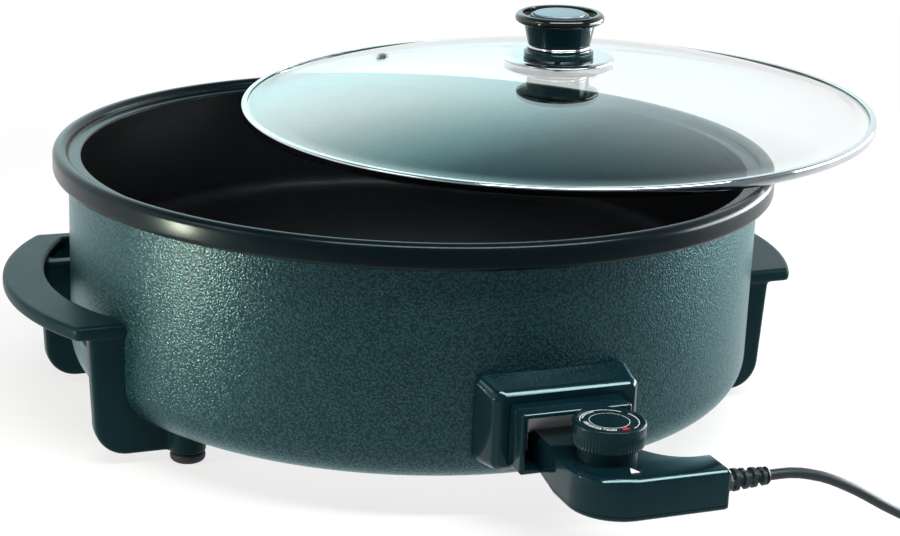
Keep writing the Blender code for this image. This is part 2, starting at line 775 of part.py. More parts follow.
def make_vessel(root, finish):
    pan = piece("cooking_pan", turned(pan_profile()), finish["nonstick"], root)
    pan.data.materials.append(finish["rim"])
    for face in pan.data.polygons:
        reach = face.center.xy.length
        outside = reach > SEAT_INNER and face.center.z > SHELL_TOP - BEAD_HEIGHT
        face.material_index = int(outside)
    shell = piece("outer_shell", turned(shell_profile()), finish["hammered"], root)
    plate = piece("base_plate", turned(plate_profile()), finish["steel"], root)
    drills = [((x, y, PLATE_Z), (0, 0, 1)) for x, y in post_spots()]
    reach = PLATE_WALL + PLATE_RIB_RISE
    cut(plate, holes("plate_holes", root, drills, SCREW_RADIUS + SCREW_PLAY, reach))
    for index, (x, y) in enumerate(post_spots()):
        way = ((x, y, PLATE_Z - GAP), (0, 0, -1))
        screw(f"base_screw_{index + 1}", root, way, POST_BORE_DEPTH, finish["steel"], True)
    return shell


def element_points():
    """From one cold end round the ring to the other."""
    back = SHELL_RADIUS - PIN_BACK_INSET
    start = -QUARTER + math.radians(ELEMENT_GAP_DEG)
    ring = ELEMENT_CIRCLE
    drop = ELEMENT_Z - PROBE_HEIGHT
    run = back + ring * math.sin(start)
    tails = []
    for side in (1, -1):
        pin_x = SOCKET_X + side * PIN_SPREAD
        end_x = side * ring * math.cos(start)
        tail = [(pin_x, -back + GAP, PROBE_HEIGHT)]
        for along, across, down in TAIL_SHARES:
            x = pin_x + (end_x - pin_x) * across
            tail.append((x, -back + run * along, ELEMENT_Z - drop * down))
        tails.append(tail)
    loop = []
    sweep = TURN - 2 * math.radians(ELEMENT_GAP_DEG)
    steps = round(math.degrees(sweep) / ELEMENT_STEP_DEG)
    for index in range(steps + 1):
        angle = start + sweep * index / steps
        loop.append((ring * math.cos(angle), ring * math.sin(angle), ELEMENT_Z))
    return tails[0] + loop + tails[1][::-1]


def make_heater(root, finish):
    """The element lies against a cast plate, whose posts carry the base plate and whose block the sleeve."""
    spreader = rod_profile(SPREADER_RADIUS, SPREADER_Z, SPREADER_Z + SPREADER_THICKNESS)
    disc = piece("heat_spreader", turned(spreader), finish["aluminium"], root)
    posts = bmesh.new()
    post_low = PLATE_Z + PLATE_WALL + GAP
    post_high = SPREADER_Z + SPREADER_THICKNESS / 2
    for x, y in post_spots():
        place = Matrix.Translation((x, y, 0))
        turned(rod_profile(POST_RADIUS, post_low, post_high), SMALL_STEPS, posts, place)
    fuse(disc, helper(piece("spreader_posts", posts, None, root, smooth=False)))
    half = SLEEVE_BLOCK_WIDTH / 2
    near = SPREADER_RADIUS - SLEEVE_BLOCK_SET
    far = near + SLEEVE_BLOCK_LENGTH
    left = SOCKET_X - half
    right = SOCKET_X + half
    solid = block((left, -far, PROBE_HEIGHT - SLEEVE_BLOCK_UNDER), (right, -near, post_high))
    fuse(disc, helper(piece("sleeve_block", solid, None, root, smooth=False)))
    if far > SPREADER_RADIUS:
        neck = block((left, -far, SPREADER_Z), (right, -near, post_high))
        fuse(disc, helper(piece("sleeve_neck", neck, None, root, smooth=False)))
    drills = [((x, y, post_low), (0, 0, 1)) for x, y in post_spots()]
    cut(disc, holes("post_drills", root, drills, SCREW_RADIUS + SCREW_PLAY, POST_BORE_DEPTH + GAP))
    way = [((SOCKET_X, -near, PROBE_HEIGHT), (0, -1, 0))]
    cut(disc, holes("sleeve_drill", root, way, SLEEVE_RADIUS + GAP, SLEEVE_LENGTH, SMALL_STEPS))
    tube("heating_element", element_points(), ELEMENT_RADIUS, finish["steel"], root, 2)


def make_socket(root, finish, shell):
    """Bezel and shroud on the wall, the probe sleeve with its block, and the terminal pins."""
    wall_tool = helper(piece("wall_cutter", turned(envelope_profile()), None, root, smooth=False))
    turn = Matrix.Rotation(QUARTER, 4, "X")
    front = SHELL_RADIUS + BEZEL_REACH
    root_y = SHELL_RADIUS - SOCKET_ROOT
    outline = rectangle((BEZEL_LEFT, BEZEL_BOTTOM), (BEZEL_RIGHT, BEZEL_TOP), BEZEL_CORNER)
    low = (BEZEL_LEFT + BEZEL_LEFT_SLOPE, BEZEL_BOTTOM)
    face = rectangle(low, (BEZEL_RIGHT, BEZEL_TOP - BEZEL_TOP_SLOPE), BEZEL_CORNER)
    levels = [(root_y, outline), (SHELL_RADIUS, outline)]
    for along, across in EDGE_SHARES:
        levels.append((front - BEZEL_EDGE * (1 - along), inset(face, BEZEL_EDGE * across)))
    bezel = piece("socket_bezel", lofted(levels, place=turn), finish["gloss"], root)
    shroud_low = SOCKET_X - SHROUD_WIDTH / 2
    shroud_high = SOCKET_X + SHROUD_WIDTH / 2
    hole_low = (shroud_low - GAP, SHROUD_BOTTOM - GAP)
    hole = rectangle(hole_low, (shroud_high + GAP, SHROUD_TOP + GAP), SHROUD_CORNER)
    solid = prism(hole, root_y - OVERRUN, front + OVERRUN, place=turn)
    cut(bezel, wall_tool)
    cut(bezel, helper(piece("bezel_cutter", solid, None, root, smooth=False)))
    shroud_front = SHELL_RADIUS + SHROUD_REACH
    outer = rectangle((shroud_low, SHROUD_BOTTOM), (shroud_high, SHROUD_TOP), SHROUD_CORNER)
    levels = ((root_y, outer), (shroud_front - SHROUD_EDGE, outer), (shroud_front, inset(outer, SHROUD_EDGE)))
    shroud = piece("socket_shroud", lofted(levels, place=turn), finish["gloss"], root)
    inner_low = (shroud_low + SHROUD_WALL, SHROUD_BOTTOM + SHROUD_WALL)
    inner_high = (shroud_high - SHROUD_WALL, SHROUD_TOP - SHROUD_WALL)
    bore = prism(rectangle(inner_low, inner_high), root_y - OVERRUN, shroud_front + OVERRUN, place=turn)
    cut(shroud, wall_tool)
    cut(shroud, helper(piece("shroud_cutter", bore, None, root, smooth=False)))
    window_half = WINDOW_WIDTH / 2
    window = rectangle((SOCKET_X - window_half, WINDOW_BOTTOM), (SOCKET_X + window_half, WINDOW_TOP))
    opening = prism(window, root_y - OVERRUN, SHELL_RADIUS + OVERRUN, place=turn)
    cut(shell, helper(piece("window_cutter", opening, None, root, smooth=False)))
    middle = (BEZEL_BOTTOM + BEZEL_TOP) / 2
    ways = []
    for x in (BEZEL_LEFT + BEZEL_SCREW_INSET, BEZEL_RIGHT - BEZEL_SCREW_INSET):
        inside = wall_y(abs(x) + SCREW_HEAD_RADIUS) - SHELL_WALL - SCREW_SETBACK
        ways.append(((x, -inside, middle), (0, 1, 0)))
    tool = holes("bezel_drills", root, ways, SCREW_RADIUS + SCREW_PLAY, BEZEL_SCREW_LENGTH + GAP)
    cut(shell, tool)
    cut(bezel, tool)
    for way, hand in zip(ways, ("left", "right")):
        screw("bezel_screw_" + hand, root, way, BEZEL_SCREW_LENGTH, finish["steel"])
    make_terminals(root, finish)


def make_terminals(root, finish):
    outwards = facing((0, -1, 0), (SOCKET_X, 0, PROBE_HEIGHT))
    mouth = SLEEVE_MOUTH
    back = mouth - SLEEVE_LENGTH
    profile = [(SLEEVE_BORE, mouth), (SLEEVE_RADIUS, mouth), (SLEEVE_RADIUS, back), (0, back)]
    profile += [(0, back + SLEEVE_BOTTOM), (SLEEVE_BORE, back + SLEEVE_BOTTOM)]
    piece("probe_sleeve", turned(profile, SMALL_STEPS, place=outwards), finish["steel"], root)
    face = SHELL_RADIUS - BLOCK_INSET
    half = BLOCK_WIDTH / 2
    low = (SOCKET_X - half, -face, PROBE_HEIGHT - BLOCK_HEIGHT / 2)
    high = (SOCKET_X + half, -face + BLOCK_DEPTH, PROBE_HEIGHT + BLOCK_HEIGHT / 2)
    insulator = piece("terminal_block", block(low, high), finish["ceramic"], root)
    way = [((SOCKET_X, -face, PROBE_HEIGHT), (0, -1, 0))]
    cut(insulator, holes("block_drill", root, way, SLEEVE_RADIUS + GAP, BLOCK_DEPTH + OVERRUN, SMALL_STEPS))
    pin_ways = [((SOCKET_X + side * PIN_SPREAD, -face, PROBE_HEIGHT), (0, -1, 0)) for side in (-1, 1)]
    cut(insulator, holes("pin_drills", root, pin_ways, PIN_RADIUS + GAP, BLOCK_DEPTH + OVERRUN, SMALL_STEPS))
    profile = rod_profile(PIN_RADIUS, SHELL_RADIUS - PIN_BACK_INSET, SHELL_RADIUS + PIN_REACH, PIN_TIP / 2)
    for side, name in ((-1, "terminal_pin_left"), (1, "terminal_pin_right")):
        place = facing((0, -1, 0), (SOCKET_X + side * PIN_SPREAD, 0, PROBE_HEIGHT))
        piece(name, turned(profile, SMALL_STEPS, place=place), finish["copper"], root)


def circle_x(centre, radius, y):
    return centre[0] + math.sqrt(radius ** 2 - (y - centre[1]) ** 2)


def grip_outline(outer):
    """The crescent of a handle at +X seen from above, counter-clockwise from its front outer corner."""
    points = []
    for index in range(GRIP_STEPS + 1):
        y = GRIP_FRONT + (GRIP_BACK - GRIP_FRONT) * index / GRIP_STEPS
        points.append((circle_x(GRIP_OUTER_CENTRE, outer, y), y))
    inside_y = GRIP_BACK - GRIP_PAD
    for y in (GRIP_BACK, inside_y):
        points.append((wall_y(y, LEG_ROOT), y))
    far_radius = GRIP_NEAR_CENTRE[0] + GRIP_NEAR - GRIP_FAR_CENTRE[0]
    middle = GRIP_NEAR_CENTRE[1]
    for index in range(GRIP_STEPS // 2 + 1):
        y = inside_y + (middle - inside_y) * index / (GRIP_STEPS // 2)
        points.append((circle_x(GRIP_FAR_CENTRE, far_radius, y), y))
    low = math.asin((GRIP_FRONT + GRIP_MOUTH - middle) / GRIP_NEAR)
    points += arc(GRIP_NEAR_CENTRE, GRIP_NEAR, 0, low, GRIP_STEPS // 2)[1:]
    points.append((wall_y(GRIP_FRONT, LEG_ROOT), GRIP_FRONT + GRIP_MOUTH))
    points.append((wall_y(GRIP_FRONT, LEG_ROOT), GRIP_FRONT))
    return points


def leg_outline():
    """A leg and its arm, seen along Y: from the grip down, round the corner and in under the pan."""
    top = GRIP_UNDER + GRIP_THICKNESS / 2
    foot = LEG_REACH - LEG_TAPER
    centre = (foot - ARM_CORNER, ARM_BOTTOM + ARM_CORNER)
    points = [(LEG_REACH, top)]
    points += arc(centre, ARM_CORNER, 0, -QUARTER, FILLET_STEPS + 1)
    points += [(FOOT_X, ARM_BOTTOM), (FOOT_X, SHELL_BOTTOM + SHELL_FILLET), (LEG_ROOT, top)]
    return points


def gusset(bm, start_y, side):
    """A curved web between a leg and the underside of the grip, along the grip's outer edge."""
    reach = GRIP_OUTER_LEFT - GUSSET_INSET
    rings = []
    for index in range(GUSSET_STEPS + 1):
        share = index / GUSSET_STEPS
        y = start_y - side * GUSSET_LENGTH * share
        depth = GUSSET_DEPTH * (1 - math.sin(QUARTER * share)) + GUSSET_TIP_SHARE * GUSSET_DEPTH
        high = GRIP_TOP - GRIP_THICKNESS / 2
        corners = ((reach, GRIP_UNDER - depth), (reach, high))
        corners += ((reach - GUSSET_WIDTH, high), (reach - GUSSET_WIDTH, GRIP_UNDER - depth))
        rings.append([bm.verts.new((circle_x(GRIP_OUTER_CENTRE, radius, y), y, z)) for radius, z in corners])
    for low, high in zip(rings, rings[1:]):
        for index in range(len(low)):
            after = (index + 1) % len(low)
            bm.faces.new((low[index], low[after], high[after], high[index]))
    bm.faces.new(rings[0])
    bm.faces.new(rings[-1])


def make_handle(name, side, root, finish, shell):
    """One handle moulding with its screws; side is 1 at +X and -1 at -X."""
    mirror = Matrix.Diagonal((side, 1, 1, 1))
    outer = GRIP_OUTER_RIGHT if side > 0 else GRIP_OUTER_LEFT
    grip = prism(grip_outline(outer), GRIP_UNDER, GRIP_TOP, place=mirror)
    made = piece(name, grip, finish["phenolic"], root)
    bevel(made, GRIP_EDGE, 1)
    ways = []
    pegs = []
    rows = ((-1, "front", LEG_FRONT, FOOT_FRONT), (1, "rear", LEG_REAR, FOOT_REAR))
    for end, row, face, foot_y in rows:
        inner_face = face - end * LEG_THICKNESS
        stand = mirror @ Matrix.Rotation(QUARTER, 4, "X")
        solid = prism(leg_outline(), -max(face, inner_face), -min(face, inner_face), place=stand)
        leg = helper(piece(f"{name}_leg_{row}", solid, None, root, smooth=False))
        bevel(leg, LEG_CHAMFER, 1)
        foot = Matrix.Translation((side * FOOT_X, foot_y, 0))
        solid = turned(rod_profile(BOSS_RADIUS, BOSS_BOTTOM, SHELL_BOTTOM + GAP), SMALL_STEPS, place=foot)
        boss = helper(piece(f"{name}_boss_{row}", solid, None, root, smooth=False))
        web = bmesh.new()
        gusset(web, (face + inner_face) / 2, end)
        bmesh.ops.transform(web, matrix=mirror, verts=web.verts)
        support = helper(piece(f"{name}_gusset_{row}", web, None, root, smooth=False))
        for joined in (leg, boss, support):
            fuse(made, joined)
        y = (face + inner_face) / 2
        x = wall_y(abs(y) + SCREW_HEAD_RADIUS) - SHELL_WALL - SCREW_SETBACK
        ways.append(((side * x, y, HANDLE_SCREW_HEIGHT), (-side, 0, 0)))
        pegs.append(((side * FOOT_X, foot_y, BOSS_BOTTOM), (0, 0, 1)))
    cut(made, helper(piece(name + "_envelope", turned(envelope_profile()), None, root, smooth=False)))
    tool = holes(name + "_drills", root, ways, SCREW_RADIUS + SCREW_PLAY, HANDLE_SCREW_LENGTH + GAP)
    cut(made, tool)
    cut(shell, tool)
    cut(made, holes(name + "_pegs", root, pegs, PEG_RADIUS + GAP, PEG_LENGTH + GAP, SMALL_STEPS))
    for way, row in zip(ways, ("front", "rear")):
        screw(f"{name}_screw_{row}", root, way, HANDLE_SCREW_LENGTH, finish["steel"])


def make_feet(root, finish):
    top = BOSS_BOTTOM - GAP
    profile = [(0, top + PEG_LENGTH), (PEG_RADIUS, top + PEG_LENGTH), (PEG_RADIUS, top), (FOOT_RADIUS, top)]
    profile += [(FOOT_RADIUS, FOOT_EDGE), (FOOT_RADIUS - FOOT_EDGE, 0), (0, 0)]
    first = None
    for side, hand in ((-1, "left"), (1, "right")):
        for row, foot_y in (("front", FOOT_FRONT), ("rear", FOOT_REAR)):
            spot = (side * FOOT_X, foot_y, 0)
            name = f"foot_{hand}_{row}"
            if first is None:
                first = piece(name, turned(profile, SMALL_STEPS), finish["rubber"], root, spot)
            else:
                copy_of(first, name, root, spot)


def glass_height(radius, offset=0.0):
    """The dome's outer surface above the ring's underside, or a surface an offset below it."""
    edge = GLASS_EDGE_Z + GLASS_THICKNESS
    share = min(1, radius / (GLASS_RADIUS - GLASS_BORDER)) ** GLASS_POWER
    return edge + (GLASS_RISE - edge) * (1 - share) - offset


def lid_place():
    """Where the lid's ring lies: it touches the rim at two points and tips about the line through them."""
    crest = RIM_RADIUS - BEAD_WIDTH / 2
    band = LID_RADIUS - RING_WIDTH / 2
    line = (LID_SHIFT ** 2 + crest ** 2 - band ** 2) / (2 * LID_SHIFT)
    tilt = math.radians(LID_TILT_DEG)
    heading = math.radians(LID_SHIFT_DEG)
    height = RIM_TOP + 2 * GAP + (LID_SHIFT - line) * math.tan(tilt)
    spot = Vector((LID_SHIFT * math.cos(heading), LID_SHIFT * math.sin(heading), height))
    axis = Vector((math.sin(heading), -math.cos(heading), 0))
    return spot, Matrix.Rotation(tilt, 4, axis)


def make_lid(root, finish):
    spot, tilt = lid_place()
    lid = empty("lid_lift", root, spot, tilt)
    inner = LID_RADIUS - RING_WIDTH
    slot_low = GLASS_EDGE_Z - GAP
    slot_high = GLASS_EDGE_Z + GLASS_THICKNESS + GAP
    profile = [(inner, 0)]
    profile += [(LID_RADIUS - RING_ROUND, 0), (LID_RADIUS, RING_ROUND)]
    high = RING_HEIGHT
    profile += [(LID_RADIUS, high - RING_ROUND), (LID_RADIUS - RING_ROUND, high)]
    bottom = LID_RADIUS - RING_WALL
    profile += [(inner + RING_ROUND, high), (inner + RING_ROUND, slot_high), (bottom, slot_high)]
    profile += [(bottom, slot_low), (inner, slot_low)]
    piece("lid_rim_band", turned(profile), finish["chrome"], lid)
    over = [(0, GLASS_RISE)]
    dome_radius = GLASS_RADIUS - GLASS_BORDER
    over += [(dome_radius * share, glass_height(dome_radius * share)) for share in GLASS_SHARES]
    over += [(dome_radius, GLASS_EDGE_Z + GLASS_THICKNESS), (GLASS_RADIUS, GLASS_EDGE_Z + GLASS_THICKNESS)]
    under = [(radius, height - GLASS_THICKNESS) for radius, height in reversed(over)]
    dome = piece("lid_glass", turned(over + under), finish["glass"], lid)
    cut(dome, holes("knob_drill", lid, [((0, 0, GLASS_RISE), (0, 0, 1))], KNOB_BORE, OVERRUN))
    make_vent(lid, finish, dome)
    make_knob(lid, finish)
    return lid


def make_vent(lid, finish, dome):
    bearing = math.radians(VENT_OFFSET_DEG)
    rise = glass_height(VENT_CIRCLE)
    slope = (glass_height(VENT_CIRCLE) - glass_height(VENT_CIRCLE + VENT_FLANGE)) / VENT_FLANGE
    direction = Vector((slope * math.cos(bearing), slope * math.sin(bearing), 1)).normalized()
    spot = Vector((VENT_CIRCLE * math.cos(bearing), VENT_CIRCLE * math.sin(bearing), rise))
    outer = VENT_RADIUS + VENT_WALL
    cut(dome, holes("vent_drill", lid, [(spot, direction)], outer + GAP, OVERRUN, SMALL_STEPS))
    low = -GLASS_THICKNESS - 2 * GAP
    high = 2 * GAP
    profile = [(VENT_RADIUS, low - VENT_FLANGE_WALL), (VENT_RADIUS, high + VENT_FLANGE_WALL)]
    profile += [(VENT_FLANGE - VENT_FLANGE_WALL / 2, high + VENT_FLANGE_WALL), (VENT_FLANGE, high)]
    profile += [(outer, high)]
    profile += [(outer, low), (VENT_FLANGE, low), (VENT_FLANGE, low - VENT_FLANGE_WALL)]
    eyelet = turned(profile, SMALL_STEPS, place=facing(direction, spot))
    piece("steam_vent", eyelet, finish["chrome"], lid)


def make_knob(lid, finish):
    bore = KNOB_SCREW_RADIUS + GAP
    low = GLASS_RISE + GAP
    gasket = [(KNOB_BORE, low), (GASKET_RADIUS, low), (GASKET_RADIUS, low + GASKET_THICKNESS)]
    gasket += [(KNOB_BORE, low + GASKET_THICKNESS)]
    piece("knob_gasket", turned(gasket, KNOB_STEPS), finish["rubber"], lid)
    high = FLANGE_Z + FLANGE_THICKNESS
    flat = FLANGE_RADIUS - FLANGE_EDGE
    flange = [(bore, FLANGE_Z), (flat, FLANGE_Z), (FLANGE_RADIUS, FLANGE_Z + FLANGE_EDGE)]
    flange += [(flat, high), (bore, high)]
    piece("knob_flange", turned(flange, KNOB_STEPS), finish["chrome"], lid)
    base = [(bore, BASE_Z), (BASE_RADIUS, BASE_Z)]
    waist = (BASE_RADIUS, BASE_Z + BASE_HEIGHT)
    base += arc(waist, BASE_RADIUS - KNOB_LOW_RADIUS, -QUARTER, -2 * QUARTER, FILLET_STEPS)[1:]
    base += [(bore, BASE_Z + BASE_HEIGHT)]
    piece("knob_base", turned(base, KNOB_STEPS), finish["gloss"], lid)
    ring = [(bore, NECK_Z), (NECK_RADIUS - FLANGE_EDGE, NECK_Z), (NECK_RADIUS, NECK_Z + NECK_HEIGHT / 2)]
    ring += [(NECK_RADIUS - FLANGE_EDGE, NECK_Z + NECK_HEIGHT), (bore, NECK_Z + NECK_HEIGHT)]
    piece("knob_neck_ring", turned(ring, KNOB_STEPS), finish["chrome"], lid)
    body_top = BODY_Z + KNOB_BODY_HEIGHT
    rim_top = body_top + KNOB_RIM_HEIGHT
    half = KNOB_RIM_HEIGHT / 2
    floor = rim_top - KNOB_RECESS
    body = [(bore, BODY_Z), (KNOB_LOW_RADIUS, BODY_Z), (KNOB_HIGH_RADIUS, body_top)]
    body += arc((KNOB_RIM_RADIUS - half, body_top + half), half, -QUARTER, QUARTER, 2 * FILLET_STEPS)
    recess = KNOB_RIM_RADIUS - KNOB_RIM_WIDTH
    body += [(recess, rim_top - FLANGE_EDGE), (recess, floor)]
    body += [(0, floor), (0, BODY_Z + KNOB_BODY_HEIGHT / 2), (bore, BODY_Z + KNOB_BODY_HEIGHT / 2)]
    piece("knob_body", turned(body, KNOB_STEPS), finish["gloss"], lid)
    low = floor + GAP
    disc = rod_profile(CAP_RADIUS, low, low + CAP_HEIGHT, FLANGE_EDGE)
    piece("knob_cap", turned(disc, KNOB_STEPS), finish["steel"], lid)
    under = GLASS_RISE - GLASS_THICKNESS - GAP
    washer = [(bore, under), (WASHER_RADIUS, under), (WASHER_RADIUS, under - WASHER_THICKNESS)]
    washer += [(bore, under - WASHER_THICKNESS)]
    piece("knob_washer", turned(washer, SMALL_STEPS), finish["steel"], lid)
    way = ((0, 0, under - WASHER_THICKNESS - GAP), (0, 0, -1))
    sizes = (KNOB_SCREW_RADIUS, KNOB_SCREW_HEAD_RADIUS, KNOB_SCREW_HEAD)
    screw("knob_screw", lid, way, min(KNOB_SCREW_LENGTH, knob_reach(under)), finish["steel"], True, sizes)


def knob_reach(under):
    """The longest shank that still ends inside the knob's blind bore."""
    return BODY_Z + KNOB_BODY_HEIGHT / 2 - GAP - (under - WASHER_THICKNESS - GAP)


def case_outline():
    """The control's case from above: nose, elbow, arm and the bay behind the arm."""
    points = [(SOCKET_X - NOSE_HALF_WIDTH, NOSE_Y)]
    points += arc((ELBOW_X, ELBOW_Y), ELBOW_RADIUS, 2 * QUARTER, QUARTER, ELBOW_STEPS)
    corner = ARM_CORNER_ROUND
    points += arc((ARM_END_X - corner, CASE_FRONT_Y - corner), corner, QUARTER, 0, 2)
    points += arc((ARM_END_X - corner, ARM_BACK_Y + corner), corner, 0, -QUARTER, 2)
    for index in range(BAY_STEPS + 1):
        angle = QUARTER * index / BAY_STEPS
        x = BAY_X - (BAY_X - BAY_SIDE_X) * math.sin(angle)
        points.append((x, SHOULDER_Y + (ARM_BACK_Y - SHOULDER_Y) * math.cos(angle)))
    points += [(SOCKET_X + NOSE_HALF_WIDTH, SHOULDER_Y), (SOCKET_X + NOSE_HALF_WIDTH, NOSE_Y)]
    return [(x, -y) for x, y in points]


def nose_ways(spread):
    return [((SOCKET_X + side * spread, -NOSE_Y, PROBE_HEIGHT), (0, -1, 0)) for side in (-1, 1)]


def slope_cutter(control):
    """The space below the nose and the slope that leads from it down to the body."""
    under = [(0, 0), (0, NOSE_BOTTOM), (NOSE_SLOPE_START, NOSE_BOTTOM), (NOSE_SLOPE_START, NOSE_STEP)]
    under += [(NOSE_SLOPE_END, CASE_BOTTOM), (NOSE_SLOPE_END, 0)]
    turn = Matrix(((0, 0, 1, 0), (-1, 0, 0, 0), (0, 1, 0, 0), (0, 0, 0, 1)))
    solid = prism(under, -ARM_END_X, ARM_END_X, place=turn)
    return helper(piece("slope_cutter", solid, None, control, smooth=False))


def make_case(control, finish):
    outline = case_outline()
    low = CASE_PARTING + GAP / 2
    levels = [(low, outline)]
    for along, across in EDGE_SHARES:
        levels.append((CASE_TOP - CASE_EDGE * (1 - along), inset(outline, CASE_EDGE * across)))
    upper = piece("control_case_upper", lofted(levels), finish["gloss"], control)
    slope = slope_cutter(control)
    cut(upper, slope)
    rod_way = [((SOCKET_X, -NOSE_Y, PROBE_HEIGHT), (0, -1, 0))]
    cut(upper, holes("rod_drill", control, rod_way, ROD_RADIUS + GAP, ROD_BACK + GAP, SMALL_STEPS))
    ways = nose_ways(PIN_SPREAD)
    cut(upper, holes("contact_drills", control, ways, CONTACT_RADIUS + GAP, CONTACT_BACK + GAP, SMALL_STEPS))
    room = prism(inset(outline, CASE_WALL), CASE_BOTTOM - OVERRUN, CASE_TOP - CASE_WALL)
    hollow = helper(piece("case_room", room, None, control, smooth=False))
    keep = block((-ARM_END_X, -SHOULDER_Y - CASE_WALL, -OVERRUN), (ARM_END_X, OVERRUN, CASE_TOP + OVERRUN))
    cut(hollow, helper(piece("nose_keep", keep, None, control, smooth=False)))
    cut(upper, hollow)
    posts = bmesh.new()
    drills = []
    base = CASE_PARTING + CASE_PAD_RISE + GAP
    for x, y in BOSS_POINTS:
        spot = (x, y, 0)
        high = CASE_TOP - CASE_WALL / 2
        turned(rod_profile(CASE_BOSS_RADIUS, base, high), TINY_STEPS, posts, Matrix.Translation(spot))
        drills.append(((x, y, base), (0, 0, 1)))
    fuse(upper, helper(piece("case_posts", posts, None, control, smooth=False)))
    reach = CASE_SCREW_LENGTH + GAP
    cut(upper, holes("case_drills", control, drills, SCREW_RADIUS + SCREW_PLAY, reach))
    way = [((DIAL_X, -DIAL_Y, CASE_TOP), (0, 0, 1))]
    cut(upper, holes("collar_drill", control, way, COLLAR_RADIUS / 2, OVERRUN / 2, SMALL_STEPS))
    bore = SPINDLE_RADIUS + GAP
    low = CASE_TOP - CASE_WALL / 2
    high = CASE_TOP + COLLAR_HEIGHT
    collar = [(bore, low), (COLLAR_RADIUS, low), (COLLAR_RADIUS, high), (bore, high)]
    solid = turned(collar, KNOB_STEPS, place=Matrix.Translation((DIAL_X, -DIAL_Y, 0)))
    fuse(upper, helper(piece("collar", solid, None, control, smooth=False)))
    make_cover(control, finish, outline, slope)


def make_cover(control, finish, outline, slope):
    """The flat cover that closes the case from below, with a pad round each screw."""
    high = CASE_PARTING - GAP / 2
    edge = CASE_EDGE / 4
    levels = ((CASE_BOTTOM, inset(outline, edge)), (CASE_BOTTOM + edge, outline), (high, outline))
    lower = piece("control_case_lower", lofted(levels), finish["gloss"], control)
    seat = CASE_BOTTOM + SCREW_HEAD
    head = SCREW_HEAD_RADIUS + 2 * GAP
    pads = bmesh.new()
    bores = bmesh.new()
    for x, y in BOSS_POINTS:
        place = Matrix.Translation((x, y, 0))
        pad = rod_profile(head + GAP, CASE_BOTTOM + SCREW_HEAD / 2, CASE_PARTING + CASE_PAD_RISE)
        turned(pad, TINY_STEPS, pads, place)
        bore = SCREW_RADIUS + SCREW_PLAY
        profile = [(0, CASE_TOP), (bore, CASE_TOP), (bore, seat + GAP)]
        profile += [(head, seat + GAP), (head, 0), (0, 0)]
        turned(profile, TINY_STEPS, bores, place)
    fuse(lower, helper(piece("cover_pads", pads, None, control, smooth=False)))
    cut(lower, slope)
    cut(lower, helper(piece("cover_bores", bores, None, control, smooth=False)))
    for index, (x, y) in enumerate(BOSS_POINTS):
        way = ((x, y, seat), (0, 0, -1))
        screw(f"case_screw_{index + 1}", control, way, CASE_SCREW_LENGTH, finish["steel"], True)


def make_control(root, finish):
    control = empty("control_pull", root, (0, 0, 0))
    make_case(control, finish)
    turn = Matrix.Rotation(QUARTER, 4, "X")
    near = NOSE_Y - GAP - SHIELD_THICKNESS
    left = SOCKET_X - NOSE_HALF_WIDTH
    right = SOCKET_X + NOSE_HALF_WIDTH
    outline = rectangle((left, NOSE_BOTTOM + GAP), (right, SHIELD_TOP), SHIELD_CORNER)
    shield = prism(outline, near, NOSE_Y - GAP, place=turn)
    plate = piece("heat_shield", shield, finish["chrome"], control)
    rod_way = [((SOCKET_X, -NOSE_Y, PROBE_HEIGHT), (0, -1, 0))]
    cut(plate, holes("shield_rod_hole", control, rod_way, ROD_RADIUS + GAP, OVERRUN, SMALL_STEPS))
    ways = nose_ways(PIN_SPREAD)
    cut(plate, holes("shield_holes", control, ways, CONTACT_RADIUS + GAP, OVERRUN, SMALL_STEPS))
    inwards = facing((0, 1, 0), (SOCKET_X, 0, PROBE_HEIGHT))
    tip = SLEEVE_MOUTH - SLEEVE_LENGTH + SLEEVE_BOTTOM + ROD_END_PLAY
    profile = rod_profile(ROD_RADIUS, -NOSE_Y - ROD_BACK, -tip, ROD_TIP)
    piece("probe_rod", turned(profile, SMALL_STEPS, place=inwards), finish["chrome"], control)
    for side, name in ((-1, "contact_sleeve_left"), (1, "contact_sleeve_right")):
        spot = facing((0, 1, 0), (SOCKET_X + side * PIN_SPREAD, 0, PROBE_HEIGHT))
        back = -NOSE_Y - CONTACT_BACK
        front = -NOSE_Y + CONTACT_REACH
        pin_end = -SHELL_RADIUS - PIN_REACH - 2 * GAP
        profile = [(CONTACT_BORE, front), (CONTACT_RADIUS, front), (CONTACT_RADIUS, back), (0, back)]
        profile += [(0, pin_end), (CONTACT_BORE, pin_end)]
        piece(name, turned(profile, SMALL_STEPS, place=spot), finish["copper"], control)
    make_marks(control, finish)
    make_switch(control, finish)
    return control


def make_marks(control, finish):
    half = POINTER_WIDTH / 2
    base = -POINTER_Y - POINTER_LENGTH
    outline = [(POINTER_X, -POINTER_Y), (POINTER_X + half, base), (POINTER_X - half, base)]
    low = CASE_TOP + GAP
    mark = prism(outline, low, low + POINTER_THICKNESS)
    piece("pointer_mark", mark, finish["print"], control, smooth=False)


